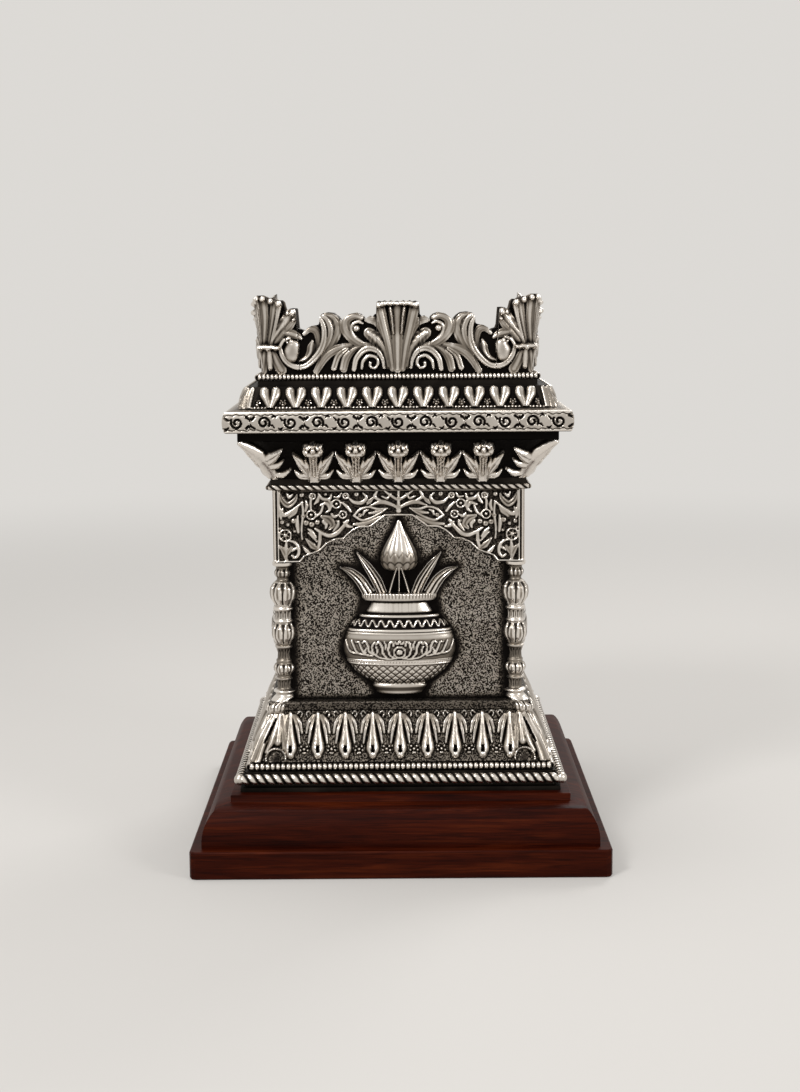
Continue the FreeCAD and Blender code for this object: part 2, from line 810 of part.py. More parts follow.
save_around("neck_frame", [neck_frame()])
save_around("neck_rope", [rod(neck_width / 2, wall_top, neck_rope_radius, rod_bite)])
save_sides("cove", [cove_panel()])
save_sides("lotus_sprays", lotus_sprays())
save_around("cove_corner_leaves", [cove_corner()])
save_around("cornice", [cornice_strip()])
save_around("heart_tier", [tier_strip()])
save_around("heart_leaves", heart_leaves())
save_around("crest_beads", [rod(crest_foot_width / 2 + joint_gap, crest_base, crest_bead_radius, rod_bite)])
tall_crest = crest_panel(1)
save("crest_front", [tall_crest])
save("crest_right", [turned(tall_crest, 1)])
save("crest_back", [turned(crest_panel(back_crest_copies), 2)])
save("crest_left", [turned(tall_crest, 3)])
save_around("rim_ledge", [rim_ledge()])
save("liner", [liner()])
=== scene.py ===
import math

import bpy
import numpy as np
from mathutils import Matrix, Vector


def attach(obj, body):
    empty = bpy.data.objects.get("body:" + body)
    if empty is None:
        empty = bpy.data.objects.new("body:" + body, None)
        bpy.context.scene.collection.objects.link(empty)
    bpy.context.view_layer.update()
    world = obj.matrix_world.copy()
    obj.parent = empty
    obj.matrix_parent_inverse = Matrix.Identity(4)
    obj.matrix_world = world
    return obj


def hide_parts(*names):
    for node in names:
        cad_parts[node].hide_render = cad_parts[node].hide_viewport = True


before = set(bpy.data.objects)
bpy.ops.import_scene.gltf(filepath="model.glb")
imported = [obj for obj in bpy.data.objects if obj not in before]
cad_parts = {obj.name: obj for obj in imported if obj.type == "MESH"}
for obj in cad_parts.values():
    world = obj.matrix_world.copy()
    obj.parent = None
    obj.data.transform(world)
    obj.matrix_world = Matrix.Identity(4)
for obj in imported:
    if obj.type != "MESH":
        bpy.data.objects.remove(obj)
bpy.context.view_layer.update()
mm = 0.001
sideNames = ("front", "right", "back", "left")
farAway = 999.0  # a distance that no leaf reaches
mitreStart = 0.97  # share of a panel's half width where its points begin to close on the mitre
print("frame loaded:", len(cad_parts), "nodes")


def smoothLine(points, count):
    # Catmull-Rom curve: each stretch blends its four nearest points with cubic weights.
    points = np.asarray(points, float)
    padded = np.vstack([2 * points[0] - points[1], points, 2 * points[-1] - points[-2]])
    place = np.linspace(0, len(points) - 1, count)
    start = np.minimum(place.astype(int), len(points) - 2)
    t = (place - start)[:, None]
    a, b, c, d = (padded[start + shift] for shift in range(4))
    return 0.5 * (2 * b + (c - a) * t + (2 * a - 5 * b + 4 * c - d) * t ** 2
                  + (3 * b - a - 3 * c + d) * t ** 3)


def evenLine(points, count):
    # The same polyline with its points at even steps.
    points = np.asarray(points, float)
    steps = np.concatenate([[0], np.cumsum(np.hypot(*np.diff(points, axis=0).T))])
    even = np.linspace(0, steps[-1], count)
    return np.stack([np.interp(even, steps, points[:, axis]) for axis in (0, 1)], axis=1)


def ease(value, low, high):
    # Smooth step: 0 below low, 1 above high, 3t^2 - 2t^3 between.
    t = np.clip((value - low) / (high - low), 0, 1)
    return t * t * (3 - 2 * t)


def zoneOf(value, rises, full, falls, ends):
    # 1 between full and falls, 0 outside rises and ends, with smooth steps between.
    return ease(value, rises, full) * (1 - ease(value, falls, ends))


def along(values, share):
    # Values spread evenly over the shares 0 to 1 and joined by straight lines.
    values = np.atleast_1d(values)
    return np.interp(share, np.linspace(0, 1, len(values)), values)


def settle(relief, pick, inside, value, how):
    # Puts a stamp's height on the relief: cut into what is there, or else the higher of the two.
    here = relief["h"].reshape(-1)
    spots = pick[inside]
    if how == "cut":
        here[spots] = here[spots] - value[inside]
    else:
        here[spots] = np.maximum(here[spots], value[inside])


def windowOf(relief, low, high):
    # Grid points inside a box of (x, v), and their x and v.
    x, v = relief["x"].reshape(-1), relief["v"].reshape(-1)
    pick = np.nonzero((x > low[0]) & (x < high[0]) & (v > low[1]) & (v < high[1]))[0]
    return pick, x[pick], v[pick]


leafLook = {
    "step": 0.3,
    "fewest": 12,  # points on a curved line, and the most
    "most": 90,
    "fewestStraight": 8,
    "margin": 0.2,
    "grooveWidth": 0.32,
    "veinDepth": 0.24,
    "veinSlant": 0.9,
    "ribDepth": 0.20,
}


def pressLeaf(relief, line, widths, rise, groove=0.0, veins=0, ribs=0, crown=0.5, how="over",
              straight=False, look=leafLook):
    # Leaf along a line: height is rise times (1 - q^2)^crown, q the distance over the half width.
    # A groove sinks the middle by a bell curve. Veins slant back from the line and ribs run
    # beside it, as cosines.
    spine = np.asarray(line, float)
    steps = np.hypot(*np.diff(spine, axis=0).T).sum() / look["step"]
    if straight:
        spine = evenLine(spine, max(look["fewestStraight"], int(steps)))
    else:
        spine = smoothLine(spine, int(np.clip(steps, look["fewest"], look["most"])))
    reach = float(np.max(widths)) + look["margin"]
    pick, x, v = windowOf(relief, spine.min(0) - reach, spine.max(0) + reach)
    if len(pick) == 0:
        return
    gap = (x[:, None] - spine[:, 0]) ** 2 + (v[:, None] - spine[:, 1]) ** 2
    nearest = gap.argmin(axis=1)
    distance = np.sqrt(gap[np.arange(len(pick)), nearest])
    share = nearest / (len(spine) - 1)
    q = distance / along(widths, share)
    body = np.clip(1 - q ** 2, 0, 1) ** crown
    if groove:
        body = body - groove * np.exp(-(q / look["grooveWidth"]) ** 2)
    if veins:
        wave = np.cos(2 * math.pi * (veins * share + look["veinSlant"] * q))
        body = body * (1 - look["veinDepth"] * q * (0.5 + 0.5 * wave))
    if ribs:
        wave = np.cos(2 * math.pi * ribs * q)
        body = body * (1 - look["ribDepth"] + look["ribDepth"] * wave)
    settle(relief, pick, q < 1, along(rise, share) * body, how)


def pressLeaves(relief, leaves, crown=0.5):
    # Several leaves, each a line of (across, up), its half widths, its rise and its groove.
    for line, widths, rise, groove in leaves:
        pressLeaf(relief, line, widths, rise, groove, crown=crown)


def fromCentre(relief, centre, reach):
    # Grid points round a centre, and their distances from it.
    pick, x, v = windowOf(relief, np.array(centre) - reach, np.array(centre) + reach)
    return pick, np.hypot(x - centre[0], v - centre[1])


def pressDome(relief, centre, radius, rise, how="over"):
    # Dome: height is rise times the square root of 1 - (d / radius)^2.
    pick, distance = fromCentre(relief, centre, radius)
    q = distance / radius
    settle(relief, pick, q < 1, rise * np.sqrt(np.clip(1 - q ** 2, 0, 1)), how)


def pressRing(relief, centre, radius, width, rise, how="over"):
    # Ring: a round ridge whose crest lies at the radius.
    pick, distance = fromCentre(relief, centre, radius + width)
    q = np.abs(distance - radius) / width
    settle(relief, pick, q < 1, rise * np.sqrt(np.clip(1 - q ** 2, 0, 1)), how)


def pressStar(relief, centre, reach, size, rise, dots=6, middle=1.2, start=0.3):
    # Little flower: a dot with a ring of dots round it, the first at the angle start.
    pressDome(relief, centre, size * middle, rise)
    for turn in np.arange(dots) * 2 * math.pi / dots + start:
        place = (centre[0] + reach * math.cos(turn), centre[1] + reach * math.sin(turn))
        pressDome(relief, place, size, rise)


def spiralLine(centre, outer, inner, turns, start, perTurn=26):
    # Spiral: the radius shrinks evenly while the angle turns.
    count = int(abs(turns) * perTurn) + 6
    angle = math.radians(start) + np.linspace(0, turns * 2 * math.pi, count)
    radius = np.linspace(outer, inner, count)
    x, v = centre[0] + radius * np.cos(angle), centre[1] + radius * np.sin(angle)
    return np.stack([x, v], axis=1)


def softened(height, cells):
    # Three box blurs along each axis, which come close to a bell curve.
    for axis in (0, 1, 0, 1, 0, 1):
        size = int(max(1, cells))
        padding = [(0, 0), (0, 0)]
        padding[axis] = (size + 1, size)
        sums = np.cumsum(np.pad(height, padding, mode="edge"), axis=axis)
        width = 2 * size + 1
        high = np.take(sums, range(width, sums.shape[axis]), axis=axis)
        low = np.take(sums, range(0, sums.shape[axis] - width), axis=axis)
        height = (high - low) / width
    return height


polishLook = {"ground": 0.02, "flank": 0.60, "flankStart": 0.10, "blur": 3}


def shine(height, full, strength, look=polishLook):
    # Polish of the silver: black in the ground, grey on flanks and bright on ridges that stand
    # above the blurred height round them.
    ridge = (height - softened(height, look["blur"])) * strength
    flank = look["flank"] * ease(height, look["flankStart"], full)
    return np.clip(look["ground"] + flank + ridge, 0, 1)


def drawBack(relief, depth, start):
    # The ground draws back towards each mitre, so the tall leaves there end at the tier's own edge.
    relief["h"] = relief["h"] - depth * ease(np.abs(relief["s"]), start, 1.0)


def panelGrid(values):
    # Sloping face of a square tier from foot to head, each (half width, height). Shares s run
    # across and t up. A hollow sinks it by a parabola.
    (footHalf, foot), (headHalf, head) = values["foot"], values["head"]
    s, t = np.meshgrid(np.linspace(-1, 1, values["columns"]), np.linspace(0, 1, values["rows"]))
    half = footHalf + (headHalf - footHalf) * t
    length = math.hypot(headHalf - footHalf, head - foot)
    return {
        "s": s,
        "t": t,
        "half": half,
        "across": s * half,
        "x": np.abs(s * half),
        "level": foot + (head - foot) * t,
        "v": t * length,
        "h": np.zeros_like(s),
        "sunk": values.get("hollow", 0.0) * 4 * t * (1 - t),
        "length": length,
        "slope": ((head - foot) / length, (footHalf - headHalf) / length),
    }


def uprightGrid(values):
    # The same for an upright face, from low to high at one half width.
    half = values["half"]
    return panelGrid(dict(values, foot=(half, values["low"]), head=(half, values["high"])))


def foldedRow(relief, pitch, reach):
    # A row that repeats: x becomes the distance from the nearest middle, up to the reach.
    x = relief["x"]
    folded = np.abs((x + pitch / 2) % pitch - pitch / 2)
    return dict(relief, x=np.where(x < reach, folded, farAway))


def panelPoints(relief):
    # Each point moves out along the face's normal by its height. Near the mitre it also moves
    # sideways.
    out, up = relief["slope"]
    push = relief["h"] - relief["sunk"]
    mitre = np.sign(relief["s"]) * ease(np.abs(relief["s"]), mitreStart, 1.0)
    x = relief["across"] + mitre * push * out
    return np.stack([x, -(relief["half"] + push * out), relief["level"] + push * up], axis=-1)


def quadsOf(index):
    # The quads of a grid of point numbers.
    corners = [index[:-1, :-1], index[:-1, 1:], index[1:, 1:], index[1:, :-1]]
    return np.stack(corners, axis=-1).reshape(-1, 4)


def gridQuads(rows, columns, wrap=False):
    # Quads of a whole grid. With wrap, the last column joins the first.
    index = np.arange(rows * columns).reshape(rows, columns)
    return quadsOf(np.hstack([index, index[:, :1]]) if wrap else index)


def turned(points, quarters):
    # Points turned about the middle by quarter turns.
    angle = quarters * math.pi / 2
    cosine, sine = math.cos(angle), math.sin(angle)
    return points @ np.array([[cosine, sine, 0], [-sine, cosine, 0], [0, 0, 1]])


def buildPiece(name, points, faces, material, replaces=(), polish=None, stipple=None,
               sharp=55):
    # Faces are arrays of quads and lists of longer rings, all counted from the first point.
    loops, sizes = [], []
    for face in faces:
        face = np.asarray(face)
        if face.ndim == 1:
            face = face[None, :]
        loops.append(face.reshape(-1))
        sizes.append(np.full(len(face), face.shape[1]))
    loops, sizes = np.concatenate(loops), np.concatenate(sizes)
    mesh = bpy.data.meshes.new(name)
    mesh.vertices.add(len(points))
    mesh.vertices.foreach_set("co", (np.asarray(points) * mm).astype(np.float32).reshape(-1))
    mesh.loops.add(len(loops))
    mesh.loops.foreach_set("vertex_index", loops.astype(np.int32))
    mesh.polygons.add(len(sizes))
    starts = np.concatenate([[0], np.cumsum(sizes)[:-1]])
    mesh.polygons.foreach_set("loop_start", starts.astype(np.int32))
    mesh.polygons.foreach_set("use_smooth", np.ones(len(sizes), bool))
    mesh.update(calc_edges=True)
    mesh.validate()
    mesh.set_sharp_from_angle(angle=math.radians(sharp))
    for label, values in (("polish", polish), ("stipple", stipple)):
        if values is not None:
            layer = mesh.attributes.new(label, "FLOAT", "POINT")
            layer.data.foreach_set("value", np.asarray(values).astype(np.float32).reshape(-1))
    mesh.materials.append(material)
    piece = bpy.data.objects.new(name, mesh)
    bpy.context.scene.collection.objects.link(piece)
    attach(piece, "tower")
    if replaces:
        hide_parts(*replaces)
    return piece


def closedPanel(relief, thickness):
    # Front grid, a plain back between its foot and head, and rings that close the two ends.
    front = panelPoints(relief)
    rows, columns = relief["s"].shape
    out, up = relief["slope"]
    back = []
    for row in (0, rows - 1):
        half = relief["half"][row] - thickness * out
        back.append(np.stack([relief["across"][row] * half / relief["half"][row], -half,
                              relief["level"][row] - thickness * up], axis=-1))
    points = np.vstack([front.reshape(-1, 3), back[0], back[1]])
    index = np.arange(rows * columns).reshape(rows, columns)
    low = rows * columns + np.arange(columns)
    high = low + columns
    quads = gridQuads(rows, columns)
    under = np.stack([low[:-1], low[1:], index[0, 1:], index[0, :-1]], axis=-1)
    over = np.stack([index[-1, :-1], index[-1, 1:], high[1:], high[:-1]], axis=-1)
    behind = np.stack([low[1:], low[:-1], high[:-1], high[1:]], axis=-1)
    left = np.concatenate([index[:, 0], [high[0], low[0]]])
    right = np.concatenate([index[:, -1], [high[-1], low[-1]]])[::-1]
    return points, [quads, under, over, behind, left, right]


def buildAround(name, points, faces, polish, nodes=(), extra=(), stipple=None, sides=sideNames,
                sharp=55):
    # One silver piece on each of the sides, turned about the middle. It replaces its own side's
    # nodes, and the extra ones that the sides share.
    for side in sides:
        replaced = [node + "_" + side for node in nodes] + list(extra)
        place = turned(points.reshape(-1, 3), sideNames.index(side))
        buildPiece(name + "_" + side, place, faces, reliefSilver, replaced, polish, stipple,
                   sharp=sharp)


def buildPanels(name, relief, sheet, nodes, extra=(), sides=sideNames):
    # A pressed panel on each of the sides, of a sheet's thickness, with one polish on its back.
    points, faces = closedPanel(relief, sheet)
    behind = len(points) - relief["h"].size
    backPolish = np.full(behind, relief.get("backPolish", 0.05))
    polish = np.concatenate([relief["polish"].reshape(-1), backPolish])
    stipple = np.concatenate([relief.get("stipple", 0 * relief["h"]).reshape(-1), np.zeros(behind)])
    buildAround(name, points, faces, polish, nodes, extra, stipple, sides)


def ringSweep(profile, steps):
    # A profile of (half width, height) carried round a square, each side in even steps, and a ring
    # that closes each end.
    profile = np.asarray(profile, float)
    s = np.linspace(-1, 1, steps + 1)[:-1]
    across = np.outer(profile[:, 0], s)
    side = np.stack([across, -profile[:, :1] + 0 * s, profile[:, 1:] + 0 * s], axis=-1)
    points = np.concatenate([turned(side, quarters) for quarters in range(4)], axis=1)
    rows, columns = points.shape[:2]
    index = np.arange(rows * columns).reshape(rows, columns)
    return points.reshape(-1, 3), [gridQuads(rows, columns, wrap=True), index[0][::-1], index[-1]]


def newTree(owner):
    # The empty node tree of a material or of the world.
    owner.use_nodes = True
    owner.node_tree.nodes.clear()
    return owner.node_tree


def addNode(tree, kind, inputs, **settings):
    # A shader node: values set its inputs, and sockets are linked to them.
    node = tree.nodes.new("ShaderNode" + kind)
    for setting, value in settings.items():
        setattr(node, setting, value)
    for label, value in inputs.items():
        if isinstance(value, bpy.types.NodeSocket):
            tree.links.new(value, node.inputs[label])
        else:
            node.inputs[label].default_value = value
    return node


def mathOf(tree, operation, *values):
    # A sum, product or maximum of numbers and sockets.
    return addNode(tree, "Math", dict(enumerate(values)), operation=operation).outputs["Value"]


def noiseOf(tree, coordinates, scale, detail, roughness=0.55, distortion=0.0):
    # Smooth noise between 0 and 1, finer with the scale.
    inputs = {"Vector": coordinates, "Scale": scale, "Detail": detail, "Roughness": roughness,
              "Distortion": distortion}
    return addNode(tree, "TexNoise", inputs).outputs["Fac"]


def rampOf(tree, value, stops):
    # Colours between stops of (place, colour).
    ramp = addNode(tree, "ValToRGB", {"Fac": value})
    while len(ramp.color_ramp.elements) < len(stops):
        ramp.color_ramp.elements.new(0.5)
    for element, (place, colour) in zip(ramp.color_ramp.elements, stops):
        element.position = place
        element.color = (*colour, 1)
    return ramp.outputs["Color"]


def bumpOf(tree, height, strength, depth, under=None):
    # Bumps of a depth in metres, on top of those under them.
    inputs = {"Height": height, "Strength": strength, "Distance": depth}
    if under:
        inputs["Normal"] = under
    return addNode(tree, "Bump", inputs).outputs["Normal"]


silverLook = {
    "black": (0.006, 0.005, 0.0045),
    "dark": (0.060, 0.050, 0.041),
    "mid": (0.27, 0.235, 0.195),
    "bright": (0.80, 0.75, 0.69),
    "stops": (0.08, 0.32, 0.60, 0.92),
    "polishRange": (0.1, 0.95),
    "roughRange": (0.55, 0.24),
    "smudgeSize": 70,
    "smudge": 0.22,
    "stippleSize": 1750,
    "stippleEdge": (0.46, 0.57),
    "stippleBump": 0.8,
    "stippleDepth": 0.00016,
    "grainSize": 2600,
    "grainBump": 0.35,
    "grainDepth": 0.00003,
}


def silverMaterial(name, tone=None, worm=0, look=silverLook):
    # Old silver: the polish runs from black oxide to burnished metal, clouded by soft noise.
    # The stipple share adds small raised worms, where a fine noise stands above its middle.
    # Without a tone, polish and stipple come from the piece's attributes.
    material = bpy.data.materials.new(name)
    tree = newTree(material)
    coordinates = addNode(tree, "TexCoord", {}).outputs["Object"]
    if tone is None:
        tone, worm = [addNode(tree, "Attribute", {}, attribute_name=label).outputs["Fac"]
                      for label in ("polish", "stipple")]
    cloud = noiseOf(tree, coordinates, look["smudgeSize"], 4.0)
    grain = noiseOf(tree, coordinates, look["grainSize"], 2.0)
    worms = noiseOf(tree, coordinates, look["stippleSize"], 0.0)
    low, high = look["stippleEdge"]
    raised = addNode(tree, "MapRange", {"Value": worms, "From Min": low, "From Max": high},
                     interpolation_type="SMOOTHSTEP")
    dotted = mathOf(tree, "MULTIPLY", raised.outputs["Result"], worm)
    clouded = mathOf(tree, "MULTIPLY_ADD", cloud, look["smudge"], -look["smudge"] / 2)
    total = mathOf(tree, "ADD", mathOf(tree, "ADD", clouded, tone), dotted)
    grainBump = bumpOf(tree, grain, look["grainBump"], look["grainDepth"])
    colours = [look[label] for label in ("black", "dark", "mid", "bright")]
    low, high = look["polishRange"]
    dull, smooth = look["roughRange"]
    rough = addNode(tree, "MapRange", {"Value": total, "From Min": low, "From Max": high,
                                       "To Min": dull, "To Max": smooth})
    shader = addNode(tree, "BsdfPrincipled", {
        "Base Color": rampOf(tree, total, list(zip(look["stops"], colours))),
        "Roughness": rough.outputs["Result"],
        "Metallic": 1.0,
        "Normal": bumpOf(tree, dotted, look["stippleBump"], look["stippleDepth"], grainBump),
    })
    addNode(tree, "OutputMaterial", {"Surface": shader.outputs["BSDF"]})
    return material


woodLook = {
    "deep": (0.010, 0.0009, 0.0003),
    "body": (0.034, 0.0040, 0.0008),
    "light": (0.085, 0.0140, 0.0028),
    "stops": (0.28, 0.52, 0.78),
    "grainStretch": (14.0, 260.0, 260.0),
    "grainTwist": 0.6,
    "poreStretch": (60.0, 1500.0, 1500.0),
    "poreStops": ((0.36, (0.45, 0.45, 0.45)), (0.50, (1, 1, 1))),
    "poreShade": 0.7,
    "poreBump": 0.25,
    "poreDepth": 0.0001,
    "finish": {
        "Roughness": 0.46,
        "Specular IOR Level": 0.05,
        "Coat Weight": 0.02,
        "Coat Roughness": 0.15,
    },
}


def woodMaterial(name, look=woodLook):
    # Polished rosewood: noise stretched along X gives the grain, a finer one the pores, under a
    # clear coat.
    material = bpy.data.materials.new(name)
    tree = newTree(material)
    coordinates = addNode(tree, "TexCoord", {}).outputs["Object"]

    def stretched(scale):
        mapping = addNode(tree, "Mapping", {"Vector": coordinates, "Scale": scale})
        return mapping.outputs["Vector"]

    grain = noiseOf(tree, stretched(look["grainStretch"]), 1.0, 5.0, 0.6, look["grainTwist"])
    pores = noiseOf(tree, stretched(look["poreStretch"]), 1.0, 2.0, 0.5)
    colours = [look[label] for label in ("deep", "body", "light")]
    blend = addNode(tree, "Mix", {}, data_type="RGBA", blend_type="MULTIPLY")
    blend.inputs["Factor"].default_value = look["poreShade"]
    tree.links.new(rampOf(tree, grain, list(zip(look["stops"], colours))), blend.inputs["A"])
    tree.links.new(rampOf(tree, pores, look["poreStops"]), blend.inputs["B"])
    shader = addNode(tree, "BsdfPrincipled", dict(look["finish"], **{
        "Base Color": blend.outputs["Result"],
        "Normal": bumpOf(tree, pores, look["poreBump"], look["poreDepth"]),
    }))
    addNode(tree, "OutputMaterial", {"Surface": shader.outputs["BSDF"]})
    return material


reliefSilver = silverMaterial("oldSilver")
# Black oxide; on foot_frame the same dark tone also stands for painted shade under the rope.
oxideAndShadeSilver = silverMaterial("oxideAndShadeSilver", 0.14)
stippledSilver = silverMaterial("stippledSilver", 0.10, 0.34)
linerMetal = silverMaterial("linerMetal", 0.66)
fixingSteel = silverMaterial("fixingSteel", 0.74)
standWood = woodMaterial("standWood")
print("materials made")

# CAD nodes that are shown as they are, by their finish. On foot_frame, under the foot rope, the
# dark finish is also painted shade.
for material, nodes in (
    (standWood, ("base_slab",)),
    (fixingSteel, ("body_screws", "flange_nuts")),
    (linerMetal, ("liner",)),
    (stippledSilver, ("sill",)),
    (oxideAndShadeSilver, ("foot_frame", "neck_frame", "heart_tier", "rim_ledge")),
):
    for node in nodes:
        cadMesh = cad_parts[node].data
        cadMesh.materials.clear()
        cadMesh.materials.append(material)


plinth = {
    "foot": (94.5, 13.5),
    "footEdge": 0.4,
    "flank": ((94.5, 17.4), (94.1, 20.4), (92.9, 24.4), (90.8, 28.2), (89.0, 30.2), (87.6, 30.9)),
    "flankPoints": 26,
    "ledge": 32.3,
    "ledgeCurve": ((1.2, -0.2), (0.3, 0.0), (0.0, 0.4)),
    "platform": 81.5,
    "top": 35.8,
    "edge": 0.5,
    "edgeShare": 0.3,
    "steps": 12,
    "sharp": 40,
}


def plinthProfile(values):
    # Section from the foot to the platform: upright foot, round flank, ledge, eased edge.
    foot, half, top, edge = (values[label] for label in ("foot", "platform", "top", "edge"))
    upright = [foot, (foot[0], values["flank"][0][1] - values["footEdge"])]
    flank = smoothLine(values["flank"], values["flankPoints"])
    ledge = [(half + out, values["ledge"] + up) for out, up in values["ledgeCurve"]]
    soft = edge * values["edgeShare"]
    rim = [(half, top - edge), (half - soft, top - soft), (half - edge, top)]
    return [*upright, *flank, *ledge, *rim]


plinthPoints, plinthFaces = ringSweep(plinthProfile(plinth), plinth["steps"])
buildPiece("plinthMoulding", plinthPoints, plinthFaces, standWood, ["base_plinth"],
           sharp=plinth["sharp"])
print("wood made")


footRope = {"half": 77.2, "level": 42.2, "radius": 2.55, "pitch": 4.2, "segments": 18, "rings": 7}
neckRope = {"half": 62.3, "level": 181.8, "radius": 1.4, "pitch": 3.9, "segments": 12, "rings": 5}
ropeTwist = {
    "least": 0.72,
    "roundness": 0.6,
    "dark": 0.06,
    "bright": 0.86,
    "litFrom": 0.3,
    "litTo": 0.9,
}
footBeads = {"half": 73.0, "level": 47.1, "radius": 1.85, "pitch": 2.5}
sillDots = {"half": 63.45, "level": 76.3, "radius": 0.3, "pitch": 2.6, "segments": 6,
            "bright": 0.42}
crestBeads = {"half": 66.1, "level": 234.65, "radius": 1.6, "pitch": 1.95}
beadForm = {
    "segments": 12,
    "bright": 0.84,
    "shares": (0.02, 0.12, 0.3, 0.5, 0.7, 0.88),
    "last": 0.98,
    "least": 0.42,
    "dark": 0.04,
    "litFrom": 0.55,
}
ropeKnob = {"half": 77.4, "radius": 2.75, "segments": 20, "rings": 14, "polish": 0.8}


def buildRow(name, values, x, a, r, polish, replaces):
    # Rings of radius r round a side's line, cut off at the mitres, with both ends closed.
    y = -values["half"] - r * np.cos(a)
    points = np.stack([np.clip(x, y, -y), y, values["level"] + r * np.sin(a)], axis=-1)
    rows, columns = x.shape
    ring = np.arange(columns)
    faces = [gridQuads(rows, columns, wrap=True)[:, ::-1], ring, (rows - 1) * columns + ring[::-1]]
    buildAround(name, points, faces, polish, extra=replaces)


def ropeRow(name, values, replaces, twist=ropeTwist):
    # Twisted rope: the radius swells with the cosine of the angle plus the way along.
    half = values["half"]
    count = max(2, int(round(2 * half / values["pitch"])))
    a, x = np.meshgrid(np.linspace(0, 2 * math.pi, values["segments"] + 1)[:-1],
                       np.linspace(-half, half, count * values["rings"] + 1))
    swell = np.abs(np.cos(x / (2 * half / count) * math.pi + a))
    r = values["radius"] * (twist["least"] + (1 - twist["least"]) * swell ** twist["roundness"])
    polish = twist["dark"] + twist["bright"] * ease(swell, twist["litFrom"], twist["litTo"])
    buildRow(name, values, x, a, r, polish, replaces)


def beadRow(name, values, replaces, form=beadForm):
    # Row of beads: a round whose radius follows the half circles of the beads.
    form = dict(form, **values)
    half, segments = form["half"], form["segments"]
    count = max(2, int(round(2 * half / form["pitch"])))
    step = 2 * half / count
    each = len(form["shares"])
    share = np.append(np.tile(form["shares"], count), form["last"])
    x = -half + step * np.append(np.repeat(np.arange(count), each), count - 1) + step * share
    x[-1] = half
    bulge = np.sqrt(np.clip(1 - (2 * share - 1) ** 2, 0, 1))
    r = form["radius"] * (form["least"] + (1 - form["least"]) * bulge)
    a, r = np.meshgrid(np.linspace(0, 2 * math.pi, segments + 1)[:-1], r)
    lit = ease(r, form["radius"] * form["litFrom"], form["radius"])
    x = np.repeat(x[:, None], segments, axis=1)
    buildRow(name, form, x, a, r, lit * form["bright"] + form["dark"], replaces)


def knobBall(values, level):
    # Ball on the corner of the rope: rings of sine radius between two poles.
    segments, rings, half = values["segments"], values["rings"], values["half"]
    turn, rise = np.arange(segments) * 2 * math.pi / segments, np.arange(1, rings) * math.pi / rings
    a, b = np.meshgrid(turn, rise)
    body = np.stack([np.sin(b) * np.cos(a), np.sin(b) * np.sin(a), -np.cos(b)], axis=-1)
    points = np.vstack([body.reshape(-1, 3), [[0, 0, -1], [0, 0, 1]]])
    low, high = np.arange(segments), (rings - 2) * segments + np.arange(segments)
    bottom, top = len(points) - 2, len(points) - 1
    caps = [np.stack([np.roll(low, -1), low, np.full(segments, bottom)], axis=-1),
            np.stack([high, np.roll(high, -1), np.full(segments, top)], axis=-1)]
    faces = [gridQuads(rings - 1, segments, wrap=True)] + caps
    return points * values["radius"] + np.array([half, -half, level]), faces


ropeRow("footRope", footRope, ["foot_rope"])
beadRow("footBeads", footBeads, ["foot_beads"])
beadRow("sillDots", sillDots, [])
ballPoints, ballFaces = knobBall(ropeKnob, footRope["level"])
buildAround("ropeKnob", ballPoints, ballFaces, np.full(len(ballPoints), ropeKnob["polish"]))
ropeRow("neckRope", neckRope, ["neck_rope"])
beadRow("crestBeads", crestBeads, ["crest_beads"])
print("ropes and beads made")


crest = {
    "foot": (64.6, 233.1),
    "head": (66.98, 273.1),
    "columns": 401,
    "rows": 104,
    "sheet": 1.5,
    "fullness": 1.28,
    "ribbedFrom": 1.5,  # half width from which a grooved leaf is ribbed
    "drawBack": (3.0, 0.74),
    "deepest": 1.2,  # the ground sinks no further, so it stays in front of the back
    "polish": (1.7, 0.68),
    "backPolish": 0.45,
    "outline": (
        (0, 37.2), (1.5, 36.6), (3.0, 37.4), (4.5, 36.7), (6.0, 37.4), (7.3, 36.8), (8.9, 37.2),
        (10.2, 36.3), (10.5, 35.0), (9.9, 33.4), (9.9, 31.2), (10.7, 31.0), (11.7, 29.8),
        (13.1, 30.2), (14.5, 29.4), (15.0, 28.2), (15.8, 29.8), (17.2, 31.0), (19.5, 31.8),
        (22.7, 31.2), (25.1, 29.4), (26.4, 27.8), (27.2, 29.2), (28.3, 30.4), (30.1, 31.6),
        (33.3, 32.0), (35.6, 31.4), (37.0, 29.6), (36.9, 27.6), (37.5, 26.4), (38.6, 26.0),
        (40.8, 25.8), (43.1, 24.6), (44.1, 22.6), (45.4, 23.8), (47.4, 24.4), (48.1, 26.8),
        (47.6, 31.6), (48.0, 33.9), (50.3, 34.0), (52.4, 32.9), (53.4, 33.6), (53.8, 36.6),
        (55.0, 37.7), (56.6, 37.6), (57.6, 38.4), (59.2, 38.9), (61.0, 38.6), (62.2, 39.2),
        (64.0, 40.0), (66.0, 39.9), (68.5, 39.8),
    ),
}

